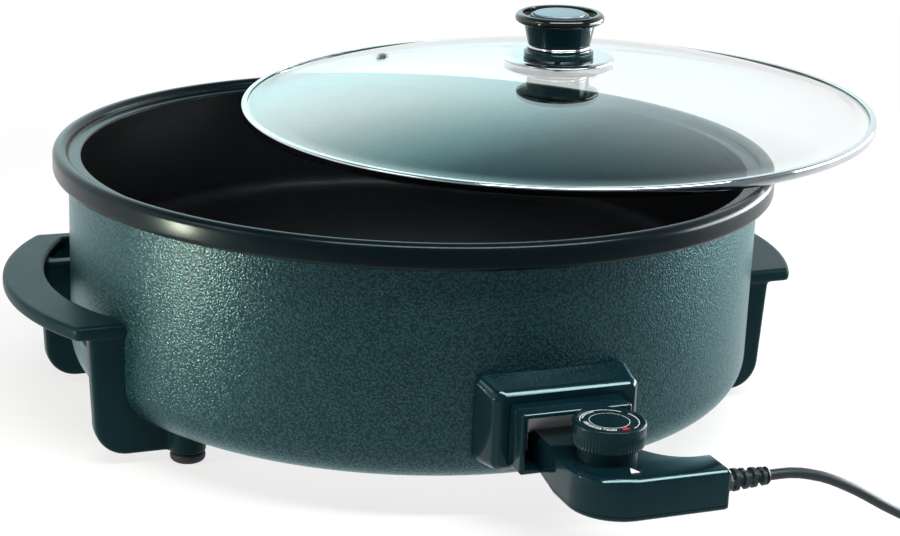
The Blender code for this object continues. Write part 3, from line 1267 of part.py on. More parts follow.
def make_switch(control, finish):
    """The switch under the dial: an insulating base with a post, and a spring blade on the post."""
    floor = CASE_PARTING + GAP
    left = DIAL_X - SWITCH_LENGTH / 2
    top = floor + SWITCH_WALL
    low = (left, -DIAL_Y - SWITCH_WIDTH / 2, floor)
    high = (left + SWITCH_LENGTH, -DIAL_Y + SWITCH_WIDTH / 2, top)
    base = piece("switch_base", block(low, high), finish["ceramic"], control, smooth=False)
    half = SWITCH_POST / 2
    middle = left + SWITCH_POST
    post_top = top + SWITCH_POST_HEIGHT
    post = block((middle - half, -DIAL_Y - half, floor), (middle + half, -DIAL_Y + half, post_top))
    fuse(base, helper(piece("switch_post", post, None, control, smooth=False)))
    blade_z = post_top + GAP
    blade_low = (middle - half, -DIAL_Y - BLADE_WIDTH / 2, blade_z)
    blade_high = (left + SWITCH_LENGTH, -DIAL_Y + BLADE_WIDTH / 2, blade_z + BLADE_THICKNESS)
    piece("switch_blade", block(blade_low, blade_high), finish["copper"], control, smooth=False)


def ribbed_circle(radius, depth):
    points = []
    for index in range(2 * DIAL_RIBS):
        angle = TURN * index / (2 * DIAL_RIBS)
        reach = radius - depth * (index % 2)
        points.append((reach * math.cos(angle), reach * math.sin(angle)))
    return points


def make_dial(control, finish):
    dial = empty("dial_turn", control, (DIAL_X, -DIAL_Y, DIAL_Z))
    edge = DIAL_HEIGHT - DIAL_CHAMFER
    levels = [
        (0, ribbed_circle(DIAL_LOW_RADIUS, DIAL_RIB_DEPTH)),
        (edge, ribbed_circle(DIAL_RADIUS, DIAL_RIB_DEPTH)),
        (DIAL_HEIGHT, ribbed_circle(DIAL_RADIUS - DIAL_CHAMFER, 0)),
    ]
    knob = piece("dial_knob", lofted(levels), finish["gloss"], dial)
    floor = DIAL_HEIGHT - DIAL_RECESS
    tool = bmesh.new()
    turned(rod_profile(DIAL_RECESS_RADIUS, floor, DIAL_HEIGHT + OVERRUN), KNOB_STEPS, tool)
    turned(rod_profile(SPINDLE_RADIUS + GAP, -OVERRUN, SPINDLE_IN_KNOB + GAP), SMALL_STEPS, tool)
    cut(knob, helper(piece("dial_cutter", tool, None, dial, smooth=False)))
    low = floor + GAP
    outer = DIAL_RECESS_RADIUS - GAP
    high = low + SCALE_THICKNESS
    ring = [(SCALE_INNER, low), (outer, low), (outer, high), (SCALE_INNER, high)]
    piece("dial_scale_ring", turned(ring, KNOB_STEPS), finish["gloss"], dial)
    disc = rod_profile(CAP_DISC_RADIUS, low, low + CAP_DISC_THICKNESS)
    piece("dial_centre_cap", turned(disc, KNOB_STEPS), finish["gloss"], dial)
    cam_high = CASE_TOP - CASE_WALL - 2 * GAP - DIAL_Z
    cam_low = cam_high - CAM_HEIGHT
    shaft = [(0, SPINDLE_IN_KNOB), (SPINDLE_RADIUS, SPINDLE_IN_KNOB), (SPINDLE_RADIUS, cam_high)]
    shaft += [(CAM_RADIUS, cam_high), (CAM_RADIUS, cam_low)]
    shaft += [(SPINDLE_RADIUS, cam_low - CAM_TIP), (0, cam_low - CAM_TIP)]
    piece("dial_spindle", turned(shaft, SMALL_STEPS), finish["steel"], dial)
    return dial


def relief_profile():
    """The ribbed strain relief, from the case outwards, with a bore that the cord's end closes."""
    profile = [(0, 0), (RELIEF_RADIUS, 0)]
    pitch = RELIEF_LENGTH / (RELIEF_RIBS + 1)
    for index in range(1, RELIEF_RIBS + 1):
        middle = pitch * (index + 0.5)
        for step, depth in RIB_SHARES:
            along = middle + pitch * step
            share = along / RELIEF_LENGTH
            radius = RELIEF_RADIUS + (RELIEF_END_RADIUS - RELIEF_RADIUS) * share
            profile.append((radius - RELIEF_RIB_DEPTH * depth, along))
    profile += [(RELIEF_END_RADIUS, RELIEF_LENGTH), (0, RELIEF_LENGTH)]
    return profile


def coil_points(centre):
    """One unbroken coil: it spirals in on the lower layer, climbs as it reverses, and spirals out on top."""
    half = COIL_TURNS / 2
    inner = COIL_RADIUS - COIL_PITCH * half / 2
    count = round(COIL_TURNS * COIL_STEPS)
    points = []
    for index in range(count + 1):
        t = -half + COIL_TURNS * index / count
        angle = -QUARTER + TURN * (t + half)
        soft = math.sqrt(t * t + COIL_SOFTENING ** 2)
        radius = inner + COIL_PITCH * soft
        climb = min(1, max(0, t / COIL_CLIMB + 0.5))
        climb = climb * climb * (3 - 2 * climb)
        z = COIL_BASE + COIL_LAYER * climb
        points.append(Vector((centre[0] + radius * math.cos(angle), centre[1] + radius * math.sin(angle), z)))
    first = points[0] - Vector((CORD_DIAMETER, 0, 0))
    last = points[-1] + Vector((0, COIL_TAIL, 0))
    return [first] + points + [last]


def least_gap(points):
    """The least space between two turns of a coil, from its points."""
    least = math.inf
    skip = COIL_STEPS // 2
    for index, here in enumerate(points):
        for other in points[index + skip :]:
            least = min(least, (other - here).length - CORD_DIAMETER)
    return least


def make_cord(control, finish):
    start = Vector((ARM_END_X + GAP + RELIEF_LENGTH, -CORD_Y, CORD_HEIGHT))
    along = facing((1, 0, 0), (ARM_END_X + GAP, -CORD_Y, CORD_HEIGHT))
    relief = turned(relief_profile(), RELIEF_STEPS, place=along)
    piece("strain_relief", relief, finish["cord"], control)
    route = [start + Vector(point) + Vector((GAP, 0, 0)) for point in CORD_ROUTE]
    run, run_length = smooth_route(route, CORD_STEP)
    tube("supply_cord", run, CORD_RADIUS, finish["cord"], control, 2)
    half = COIL_TURNS / 2
    outer = COIL_RADIUS - COIL_PITCH * half / 2 + COIL_PITCH * math.sqrt(half * half + COIL_SOFTENING ** 2)
    meet = run[-1] + Vector((GAP + CORD_DIAMETER, 0, 0))
    centre = (meet.x, meet.y + outer)
    coil = coil_points(centre)
    tube("cord_coil", coil, CORD_RADIUS, finish["cord"], control, 1)
    coil_length = sum((after - before).length for before, after in zip(coil, coil[1:]))
    print(f"cord: {run_length + coil_length:.3f} m, least gap between turns {least_gap(coil) / MM:.2f} mm")
    make_tie(control, finish, centre, outer)
    make_plug(control, finish, coil[-1] + Vector((0, GAP, 0)))


def make_tie(control, finish, centre, outer):
    """A band round the bundle of turns; the coil lies on its lower run."""
    inner = COIL_RADIUS - COIL_PITCH * COIL_TURNS / 4
    low = (inner - CORD_DIAMETER, 0)
    high = (outer + CORD_DIAMETER, COIL_BASE + COIL_LAYER + CORD_RADIUS + GAP + TIE_THICKNESS)
    band = rectangle(low, high, TIE_THICKNESS + CORD_RADIUS / 2)
    bore = inset(band, TIE_THICKNESS)
    turn = Matrix.Rotation(math.radians(TIE_ANGLE_DEG), 4, "Z") @ Matrix.Rotation(QUARTER, 4, "X")
    place = Matrix.Translation((*centre, 0)) @ turn
    bm = bmesh.new()
    rings = []
    for outline in (band, bore):
        for depth in (-TIE_WIDTH / 2, TIE_WIDTH / 2):
            rings.append([bm.verts.new(place @ Vector((x, z, depth))) for x, z in outline])
    near, far, bore_near, bore_far = rings
    for index in range(len(band)):
        after = (index + 1) % len(band)
        for a, b in ((near, far), (far, bore_far), (bore_far, bore_near), (bore_near, near)):
            bm.faces.new((a[index], a[after], b[after], b[index]))
    piece("cord_tie", bm, finish["rubber"], control, smooth=False)


def make_plug(control, finish, start):
    """A moulded two-blade plug that lies beside the coil, its axis along +Y."""
    place = facing((0, 1, 0), start)
    half_height = start.z
    half = PLUG_WIDTH / 2
    waist = PLUG_WAIST / 2
    low = half_height * PLUG_WAIST / PLUG_WIDTH
    levels = []
    for along, radius in ((0, PLUG_NECK_RADIUS), (PLUG_NECK_LENGTH, PLUG_NECK_RADIUS + RELIEF_RIB_DEPTH)):
        levels.append((along, rectangle((-radius, -radius), (radius, radius), radius * PLUG_ROUND_SHARE)))
    for along, share in PLUG_SHARES:
        width = waist + (half - waist) * share
        height = low + (half_height - low) * share
        outline = rectangle((-width, -height), (width, height), min(PLUG_CORNER, height / 2))
        levels.append((PLUG_NECK_LENGTH + PLUG_LENGTH * along, outline))
    body = piece("plug_body", lofted(levels, place=place), finish["cord"], control)
    face = PLUG_NECK_LENGTH + PLUG_LENGTH
    slots = bmesh.new()
    for side, hand in ((-1, "left"), (1, "right")):
        middle = side * BLADE_SPACING / 2
        blade = bmesh.new()
        for bm, extra in ((blade, 0), (slots, GAP)):
            blade_low = (middle - BLADE_WALL / 2 - extra, -BLADE_HEIGHT / 2 - extra)
            blade_high = (middle + BLADE_WALL / 2 + extra, BLADE_HEIGHT / 2 + extra)
            prism(rectangle(blade_low, blade_high), face - BLADE_ROOT - extra, face + BLADE_LENGTH, bm, place)
        piece("plug_blade_" + hand, blade, finish["copper"], control, smooth=False)
    cut(body, helper(piece("plug_slots", slots, None, control, smooth=False)))


def settle_origin(root):
    """Moves the whole object, so that its origin lies under the middle of all but the cord's pieces."""
    bpy.context.view_layer.update()
    graph = bpy.context.evaluated_depsgraph_get()
    low = Vector((math.inf, math.inf, math.inf))
    high = -low
    for made in bpy.data.objects:
        if made.type != "MESH" or made.hide_render or made.name in CORD_NODES:
            continue
        shape = made.evaluated_get(graph)
        for corner in shape.bound_box:
            spot = shape.matrix_world @ Vector(corner)
            low = Vector(map(min, low, spot))
            high = Vector(map(max, high, spot))
    middle = (low + high) / 2
    root.location = (-middle.x, -middle.y, 0)
    print(f"axis of the vessel at {root.location.x:.4f}, {root.location.y:.4f}; height {high.z:.4f}")


def main():
    clear_scene()
    finish = make_finishes()
    root = empty("skillet")
    shell = make_vessel(root, finish)
    make_heater(root, finish)
    make_socket(root, finish, shell)
    make_handle("left_handle", -1, root, finish, shell)
    make_handle("right_handle", 1, root, finish, shell)
    make_feet(root, finish)
    make_lid(root, finish)
    control = make_control(root, finish)
    make_dial(control, finish)
    make_cord(control, finish)
    settle_origin(root)


main()
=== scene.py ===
import json
import math

import bmesh
import bpy
from mathutils import Matrix, Vector


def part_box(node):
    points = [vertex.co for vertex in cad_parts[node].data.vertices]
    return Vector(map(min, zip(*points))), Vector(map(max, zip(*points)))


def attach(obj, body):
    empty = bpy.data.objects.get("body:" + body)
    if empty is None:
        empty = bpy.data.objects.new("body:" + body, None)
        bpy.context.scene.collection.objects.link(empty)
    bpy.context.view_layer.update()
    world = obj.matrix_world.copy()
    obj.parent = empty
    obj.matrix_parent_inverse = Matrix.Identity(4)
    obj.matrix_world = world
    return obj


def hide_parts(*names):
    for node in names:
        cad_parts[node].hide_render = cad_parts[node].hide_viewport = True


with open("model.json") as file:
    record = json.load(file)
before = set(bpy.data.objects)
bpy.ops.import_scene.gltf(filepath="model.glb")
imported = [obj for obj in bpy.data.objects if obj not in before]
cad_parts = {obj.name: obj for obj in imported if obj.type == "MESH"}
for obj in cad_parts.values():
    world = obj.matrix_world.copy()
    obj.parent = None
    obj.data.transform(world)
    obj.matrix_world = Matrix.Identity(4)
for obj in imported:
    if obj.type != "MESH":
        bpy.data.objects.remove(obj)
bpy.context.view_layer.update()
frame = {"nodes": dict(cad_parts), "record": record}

# Units, clearances and fineness
MM = 0.001
TURN = 2 * math.pi
QUARTER = math.pi / 2
PLAIN = Matrix.Identity(4)
UPRIGHT = Matrix.Rotation(QUARTER, 4, "X")
GAP = 0.3 * MM
OVERRUN = 20 * MM
ROUND_STEPS = 192
KNOB_STEPS = 96
SMALL_STEPS = 40
FILLET_STEPS = 8
ROUTE_PARTS = 12
CORNER_STEPS = 4
ROLL_STEPS = 3
SHARP_DEG = 35
CASE_SHARP_DEG = 30
RIB_SHARP_DEG = 40
MOULD_SHARP_DEG = 50
CORNER_SHARE = 0.45
MITRE_LIMIT_SHARE = 0.4
EDGE_STEPS = 6
EDGE_SHARES = ((0, 0), (0.08, 0.015), (0.16, 0.07), (0.84, 0.75), (0.93, 0.86), (0.985, 0.92), (1, 1))

# The vessel's axis, from the frame
PAN_LOW, PAN_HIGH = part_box("cooking_pan")
AXIS = (PAN_LOW + PAN_HIGH) / 2
VESSEL = Matrix.Translation((AXIS.x, AXIS.y, 0))

# Rim, pan, shell and base plate
RIM_HEIGHT = 148 * MM
RIM_RADIUS = 210 * MM
BEAD_HEIGHT = 14 * MM
BEAD_WIDTH = 8.6 * MM
SEAT_DROP = 5 * MM
SEAT_WIDTH = 7.6 * MM
PAN_DEPTH = 75 * MM
PAN_WALL = 2.6 * MM
PAN_FLOOR = 3 * MM
PAN_FLOOR_RADIUS = 186 * MM
PAN_FILLET = 12 * MM
SEAT_FILLET = 1.2 * MM
HEM_FILLET = 3 * MM
SHELL_RADIUS = 201 * MM
SHELL_WALL = 1.2 * MM
SHELL_BOTTOM = 21.7 * MM
SHELL_FILLET = 23 * MM
SHELL_LIP = 10 * MM
RIM_TOP = RIM_HEIGHT + BEAD_HEIGHT / 2
BEAD_INNER = RIM_RADIUS - BEAD_WIDTH
SEAT_Z = RIM_TOP - SEAT_DROP
SEAT_INNER = BEAD_INNER - SEAT_WIDTH
COOK_Z = RIM_TOP - PAN_DEPTH
PAN_UNDER = COOK_Z - PAN_FLOOR
SHELL_TOP = SEAT_Z - PAN_WALL - GAP
WALL_FACE = SHELL_RADIUS + GAP

# Socket
SOCKET_X = 2 * MM
BEZEL_LEFT = -41 * MM
BEZEL_RIGHT = 44.5 * MM
BEZEL_BOTTOM = 37 * MM
BEZEL_TOP = 85 * MM
BEZEL_REACH = 13.5 * MM
BEZEL_SLOPE = 4.5 * MM
BEZEL_CORNER = 6 * MM
BEZEL_EDGE = 3 * MM
SHROUD_WIDTH = 61 * MM
SHROUD_BOTTOM = 41 * MM
SHROUD_TOP = 73.5 * MM
SHROUD_REACH = 29 * MM
SHROUD_WALL = 2.5 * MM
SHROUD_CORNER = 2 * MM
SHROUD_EDGE = 0.8 * MM
SOCKET_ROOT = 12 * MM
WINDOW_WIDTH = 44 * MM
WINDOW_BOTTOM = 44 * MM
WINDOW_TOP = 68 * MM

# Handles and feet
GRIP_TOP = 82 * MM
GRIP_THICKNESS = 8 * MM
GRIP_FRONT = -68 * MM
GRIP_BACK = 116 * MM
GRIP_PAD = 12 * MM
GRIP_MOUTH = 16 * MM
GRIP_OUTER_CENTRE = (74.4 * MM, 14 * MM)
GRIP_NEAR_CENTRE = (77.9 * MM, 19 * MM)
GRIP_FAR_CENTRE = (54.6 * MM, 19 * MM)
GRIP_OUTER_LEFT = 163.6 * MM
GRIP_OUTER_RIGHT = 168 * MM
GRIP_NEAR = 134.8 * MM
GRIP_EDGE = 2.2 * MM
GRIP_STEPS = 36
LEG_FRONT = -66 * MM
LEG_REAR = 78 * MM
LEG_THICKNESS = 12 * MM
LEG_REACH = 209 * MM
LEG_TAPER = 3 * MM
LEG_CHAMFER = 2.4 * MM
LEG_ROOT = 178 * MM
ARM_BOTTOM = 6 * MM
ARM_CORNER = 18 * MM
GUSSET_RADIUS = 148 * MM
GUSSET_LENGTH = 34 * MM
GUSSET_DEPTH = 15 * MM
GUSSET_WIDTH = 6 * MM
GUSSET_STEPS = 12
GUSSET_TIP_SHARE = 0.06
GRIP_UNDER = GRIP_TOP - GRIP_THICKNESS
GRIP_MIDDLE = GRIP_TOP - GRIP_THICKNESS / 2
FOOT_X = 154.8 * MM
FOOT_FRONT = -66 * MM
FOOT_REAR = 73 * MM
BOSS_BOTTOM = 5.5 * MM
FOOT_RADIUS = 9.8 * MM
FOOT_EDGE = 1.6 * MM
BOSS_RADIUS = 10.2 * MM
PAD_ROOT = 30 * MM
PAD_REACH = 20 * MM
PAD_DEPTH = 20 * MM
MOULD_VOXEL = 0.9 * MM
MOULD_SMOOTHING = 8
MOULD_EASE_SHARE = 0.5

# Lid
LID_RADIUS = 199.5 * MM
LID_SHIFT = 132.5 * MM
LID_SHIFT_DEG = 26.5
LID_TILT_DEG = 1.9
RING_HEIGHT = 6 * MM
RING_WIDTH = 5.4 * MM
RING_WALL = 1 * MM
RING_ROUND = 1.6 * MM
GLASS_THICKNESS = 4 * MM
GLASS_RISE = 32.1 * MM
GLASS_POWER = 2.2
GLASS_STEPS = 24
GLASS_BORDER = 5.5 * MM
GLASS_RADIUS = LID_RADIUS - RING_WALL - GAP
GLASS_EDGE_Z = RING_HEIGHT / 2 - GLASS_THICKNESS / 2 + GAP
KNOB_BORE = 4 * MM
GASKET_THICKNESS = 1 * MM
FLANGE_RADIUS = 35 * MM
FLANGE_THICKNESS = 2 * MM
FLANGE_DISH = 1.1 * MM
BASE_RADIUS = 22 * MM
BASE_HEIGHT = 4.6 * MM
NECK_RADIUS = 20.2 * MM
NECK_HEIGHT = 2.4 * MM
KNOB_LOW_RADIUS = 19.8 * MM
KNOB_HIGH_RADIUS = 22.4 * MM
KNOB_BODY_HEIGHT = 13 * MM
KNOB_RIM_RADIUS = 28 * MM
KNOB_RIM_HEIGHT = 6.4 * MM
KNOB_RIM_WIDTH = 4.6 * MM
KNOB_RECESS = 2.6 * MM
CAP_RADIUS = 16.2 * MM
CAP_HEIGHT = 2.2 * MM
FLANGE_Z = GLASS_RISE + GASKET_THICKNESS + 2 * GAP
BASE_Z = FLANGE_Z + FLANGE_THICKNESS + GAP
NECK_Z = BASE_Z + BASE_HEIGHT + GAP
BODY_Z = NECK_Z + NECK_HEIGHT + GAP

# Control case
CASE_BOTTOM = 37 * MM
CASE_TOP = 58.5 * MM
CASE_PARTING = 39.5 * MM
CASE_EDGE = 2.2 * MM
NOSE_Y = 213 * MM
NOSE_HALF_WIDTH = 19 * MM
NOSE_BOTTOM = 44.4 * MM
NOSE_STEP = 41.5 * MM
NOSE_SLOPE_START = 231 * MM
NOSE_SLOPE_END = 252 * MM
SHOULDER_Y = 237 * MM
ELBOW_X = 8 * MM
ELBOW_Y = 264 * MM
ELBOW_RADIUS = 26 * MM
ARM_END_X = 58 * MM
ARM_BACK_Y = 268 * MM
ARM_CORNER_ROUND = 2.5 * MM
BAY_X = 50 * MM
BAY_SIDE_X = 24 * MM
BAY_STEPS = 24
ELBOW_STEPS = 30
COLLAR_RADIUS = 15 * MM
COLLAR_HEIGHT = 7.7 * MM
CASE_FRONT_Y = ELBOW_Y + ELBOW_RADIUS

# Dial
DIAL_X = 5.8 * MM
DIAL_Y = 257 * MM
DIAL_Z = CASE_TOP + COLLAR_HEIGHT + GAP
DIAL_RADIUS = 18.5 * MM
DIAL_LOW_RADIUS = 18 * MM
DIAL_HEIGHT = 12.4 * MM
DIAL_SKIRT = 1.0 * MM
DIAL_ROUND = 1.4 * MM
DIAL_RIBS = 64
DIAL_RIB_POINTS = 6
DIAL_RIB_DEPTH = 0.35 * MM
DIAL_RIB_TOP = 6.2 * MM
DIAL_RECESS_RADIUS = 15.7 * MM
DIAL_RECESS = 0.9 * MM
PRINT_HEIGHT = 0.08 * MM
PRINT_LIFT = 0.02 * MM
SCALE_TOP = DIAL_Z - DIAL_SKIRT + DIAL_HEIGHT - DIAL_RECESS
INNER_RING_RADIUS = 9.9 * MM
INNER_RING_WIDTH = 0.55 * MM
OUTER_ARC_RADIUS = 14.6 * MM
OUTER_ARC_WIDTH = 0.4 * MM
NUMBER_RADIUS = 12.4 * MM
NUMBER_SIZE = 3.1 * MM
NUMBERS = ("100", "125", "150", "175", "200")
NUMBER_START_DEG = 176
NUMBER_STEP_DEG = 18.5
PRINT_STEP_DEG = 3
PRINT_ARCS = (
    (INNER_RING_RADIUS, INNER_RING_WIDTH, 0, 360),
    (OUTER_ARC_RADIUS, OUTER_ARC_WIDTH, 40, 165),
    (OUTER_ARC_RADIUS - 3 * OUTER_ARC_WIDTH, OUTER_ARC_WIDTH, 100, 150),
    (OUTER_ARC_RADIUS, OUTER_ARC_WIDTH, -60, 25),
)
RED_MARK_DEG = 283.5
RED_MARK_SWEEP_DEG = 17
RED_MARK_WIDTH = 2.6 * MM

# Cord, strain relief and plug
CORD_DIAMETER = 5.6 * MM
CORD_RADIUS = CORD_DIAMETER / 2
CORD_HEIGHT = 47.7 * MM
CORD_Y = 279 * MM
CORD_STEP = 6 * MM
CORD_ROUNDING = 5
RELIEF_LENGTH = 26 * MM
RELIEF_RADIUS = 6.2 * MM
RELIEF_END_RADIUS = 4.6 * MM
RELIEF_RIBS = 4
RELIEF_RIB_DEPTH = 1.6 * MM
RELIEF_SLOT_DEPTH = 1.2 * MM
RELIEF_SLOT_SHARE = 0.55
RELIEF_SLOT_RISE = 2.5
RELIEF_END_SHARE = 0.9
RIB_SHARES = ((-0.42, 1), (-0.36, 0.35), (-0.3, 0), (0.1, 0), (0.16, 0.35), (0.22, 1))
COIL_RADIUS = 30.8 * MM
COIL_TURNS = 4.25
COIL_PITCH = 6.25 * MM
COIL_LAYER = 6.2 * MM
COIL_SOFTENING = 0.12
COIL_POINTS = 48
COIL_CLIMB = 0.5
COIL_TAIL = 23 * MM
TIE_THICKNESS = 0.8 * MM
PLUG_NECK_LENGTH = 12 * MM
PLUG_NECK_RADIUS = 4.6 * MM
PLUG_LENGTH = 26 * MM
PLUG_WIDTH = 24 * MM
PLUG_WAIST = 17 * MM
PLUG_CORNER = 4 * MM
PLUG_CORNER_SHARE = 0.6
NECK_CORNER_SHARE = 0.98
PLUG_SHARES = ((0, 0), (0.1, 0.02), (0.3, 0.12), (0.5, 0.45), (0.68, 0.86), (0.8, 1), (0.97, 1), (1, 0.94))
CORD_ROUTE = (
    (0.000, 0.000, 0.0000),
    (0.008, 0.000, 0.0000),
    (0.018, 0.000, -0.0008),
    (0.034, -0.001, -0.0050),
    (0.052, -0.002, -0.0135),
    (0.070, -0.003, -0.0240),
    (0.088, -0.003, -0.0335),
    (0.106, -0.002, -0.0405),
    (0.122, 0.000, -0.0440),
    (0.138, 0.002, -0.0449),
    (0.155, 0.002, -0.0446),
    (0.170, 0.001, -0.0441),
    (0.182, 0.000, -0.0438),
    (0.190, 0.000, -0.0438),
)

# Camera, as measured from the photograph
CAMERA_TURN_DEG = -21.5
CAMERA_PLACE = (0, -1.16385, 0.28568)
CAMERA_RIGHT = (0.9992, -0.0078, 0.0402)
CAMERA_UP = (-0.0362, 0.2912, 0.9560)
CAMERA_AHEAD = (0.0191, 0.9567, -0.2907)
CAMERA_NEAR = 50 * MM
PHOTO_WIDTH = 900
FOCAL_PIXELS = 2029.3
SENSOR_WIDTH = 36

# Studio: what diffuse light, gloss and glass see of the world, and the floor
FILL_COLOUR = (0.93, 0.97, 1.0, 1)
FILL_STRENGTH = 0.22
WHITE = (1, 1, 1, 1)
SKY_STOPS = (0.0, 0.45, 0.75)
SKY_COLOURS = ((1, 1, 1), (1, 1, 1), (0.16, 0.18, 0.19))
FRONT_STOPS = (0.2, 0.55)
FRONT_COLOURS = ((0.22, 0.24, 0.25), (1, 1, 1))
CARD_DIRECTION = (0.09, 0.895, 0.435)
CARD_STRENGTH = (2.6, 2.6, 2.6)
CARD_STOPS = (0.80, 0.93, 0.965, 1.0)
CARD_COLOURS = ((0, 0, 0), (0.0, 0.08, 0.10), (0.06, 0.24, 0.26), (0.20, 0.34, 0.33))
FLOOR_RADIUS = 6
FLOOR_STEPS = 96
FLOOR_COLOUR = (0.9, 0.9, 0.9, 1)
FLOOR_GLOW = 0.74
GLOW_START = 0.3
GLOW_END = 0.9
FRONT_START = -0.1
FRONT_END = -0.55

# Softboxes: name, place, what they face, direction of the first side, sides, watts and colour
MIDDLE = (AXIS.x, AXIS.y, RIM_HEIGHT / 2)
LEFT_WALL = (0, -0.1, 0.12)
ALONG_Y = (0, 1, 0)
SOFTBOXES = (
    ("overhead", (0.03, -0.89, 1.74), MIDDLE, (1.0, -0.2, 0), (2.4, 0.23), 52, (1, 1, 1)),
    ("left_low", (-0.6, -0.065, 0.075), LEFT_WALL, ALONG_Y, (0.06, 0.09), 1.45, (1.0, 0.9, 0.68)),
    ("left_high", (-1.3, -0.1, 0.95), MIDDLE, ALONG_Y, (0.5, 0.4), 2, (1, 1, 1)),
    ("right_side", (1.2, 0.0, 0.22), MIDDLE, ALONG_Y, (1.2, 0.4), 22, (0.94, 0.99, 1.0)),
)


def arc(centre, radius, start, end, steps=FILLET_STEPS):
    """Points along an arc, both ends included; the angles are in radians."""
    points = []
    for index in range(steps + 1):
        angle = start + (end - start) * index / steps
        points.append((centre[0] + radius * math.cos(angle), centre[1] + radius * math.sin(angle)))
    return points


def circle(radius, steps=ROUND_STEPS):
    return arc((0, 0), radius, 0, TURN, steps)[:-1]


def rounded(points, radius, closed=True):
    """Replaces each corner of a polyline by a curve that starts a radius before it, where there is room."""
    made = []
    count = len(points)
    for index, point in enumerate(points):
        if not closed and index in (0, count - 1):
            made.append(point)
            continue
        here = Vector(point)
        before = Vector(points[index - 1]) - here
        after = Vector(points[(index + 1) % count]) - here
        reach = min(radius, before.length * CORNER_SHARE, after.length * CORNER_SHARE)
        if before.angle(-after, 0) < math.radians(SHARP_DEG / 2) or reach <= 0:
            made.append(point)
            continue
        start = here + before.normalized() * reach
        end = here + after.normalized() * reach
        for step in range(CORNER_STEPS + 1):
            t = step / CORNER_STEPS
            made.append(tuple(start * (1 - t) ** 2 + here * (2 * t * (1 - t)) + end * t ** 2))
    return made


def rectangle(low, high, radius=0.0):
    """An outline between two corners, with rounded corners where a radius is given."""
    if radius <= 0:
        return [(low[0], low[1]), (high[0], low[1]), (high[0], high[1]), (low[0], high[1])]
    points = []
    centres = ((high[0] - radius, high[1] - radius), (low[0] + radius, high[1] - radius))
    centres += ((low[0] + radius, low[1] + radius), (high[0] - radius, low[1] + radius))
    for index, centre in enumerate(centres):
        points += arc(centre, radius, QUARTER * index, QUARTER * (index + 1))
    return points


def inset(outline, amount):
    """Moves each point of an outline inwards, whichever way round the outline runs."""
    area = 0
    for (x0, y0), (x1, y1) in zip(outline, outline[1:] + outline[:1]):
        area += x0 * y1 - x1 * y0
    side = amount if area > 0 else -amount
    moved = []
    for index, point in enumerate(outline):
        here = Vector(point)
        before = (here - Vector(outline[index - 1])).normalized()
        after = (Vector(outline[(index + 1) % len(outline)]) - here).normalized()
        normal = Vector((-(before.y + after.y), before.x + after.x)).normalized()
        reach = max(normal.dot(Vector((-before.y, before.x))), MITRE_LIMIT_SHARE)
        moved.append(tuple(here + normal * (side / reach)))
    return moved


def edge_levels(high, edge, outline, upwards=1):
    """Levels of a chamfered edge that ends at a height, its two corners softened."""
    levels = []
    for rise, across in EDGE_SHARES:
        levels.append((high - upwards * edge * (1 - rise), inset(outline, edge * across)))
    return levels


def facing(direction, spot=(0, 0, 0)):
    """A placement that turns +Z to the given direction and moves the origin to a spot."""
    turn = Vector((0, 0, 1)).rotation_difference(Vector(direction))
    return Matrix.Translation(spot) @ turn.to_matrix().to_4x4()


def smooth_route(points, step):
    """Points a step apart on a smooth curve through the given points."""
    spots = [Vector(point) for point in points]
    padded = [2 * spots[0] - spots[1]] + spots + [2 * spots[-1] - spots[-2]]
    fine = []
    for index in range(1, len(padded) - 2):
        a, b, c, d = padded[index - 1 : index + 3]
        for part in range(ROUTE_PARTS):
            t = part / ROUTE_PARTS
            spot = 2 * b + (c - a) * t + (2 * a - 5 * b + 4 * c - d) * t * t
            spot += (3 * b - a - 3 * c + d) * t * t * t
            fine.append(spot / 2)
    fine.append(spots[-1])
    total = sum((after - before).length for before, after in zip(fine, fine[1:]))
    count = max(2, round(total / step))
    chosen = [fine[0]]
    walked = 0
    for before, after in zip(fine, fine[1:]):
        walked += (after - before).length
        if walked >= total * len(chosen) / count and len(chosen) < count:
            chosen.append(after)
    chosen.append(fine[-1])
    return chosen


def tube(bm, rings, closed=False):
    """Joins each ring of points to the next, and closes the tube on itself or caps it; a point is a pole."""
    rows = [[bm.verts.new(spot) for spot in ring] for ring in rings]
    follow = rows[1:] + rows[:1] if closed else rows[1:]
    for first, second in zip(rows, follow):
        count = max(len(first), len(second))
        for index in range(count):
            after = (index + 1) % count
            corners = [first[index % len(first)], first[after % len(first)]]
            corners += [second[after % len(second)], second[index % len(second)]]
            face = list(dict.fromkeys(corners))
            if len(face) > 2:
                bm.faces.new(face)
    if not closed:
        bm.faces.new(rows[0])
        bm.faces.new(rows[-1])
    return bm


def lofted(levels, place=PLAIN):
    """Joins outlines of equal count, each given with its height, and caps both ends."""
    rings = [[place @ Vector((x, y, height)) for x, y in outline] for height, outline in levels]
    return tube(bmesh.new(), rings)


def prism(outline, low, high, place=PLAIN):
    return lofted(((low, outline), (high, outline)), place)


def turned(profile, steps=ROUND_STEPS, place=PLAIN):
    """A closed profile of (radius, height) turned about Z."""
    rings = []
    for radius, height in profile:
        outline = circle(radius, steps) if radius > 0 else [(0, 0)]
        rings.append([place @ Vector((x, y, height)) for x, y in outline])
    return tube(bmesh.new(), rings, True)


def linked(name, data):
    made = bpy.data.objects.new(name, data)
    bpy.context.scene.collection.objects.link(made)
    return made


def meshed(name, bm):
    mesh = bpy.data.meshes.new(name)
    bm.to_mesh(mesh)
    bm.free()
    return linked(name, mesh)


def bare(name, bm, place=VESSEL):
    """A mesh object, placed in the row frame, that isn't declared yet."""
    bmesh.ops.recalc_face_normals(bm, faces=bm.faces)
    bmesh.ops.transform(bm, matrix=place, verts=bm.verts)
    return meshed(name, bm)


def paint(made, finish):
    made.data.materials.clear()
    made.data.materials.append(FINISH[finish])


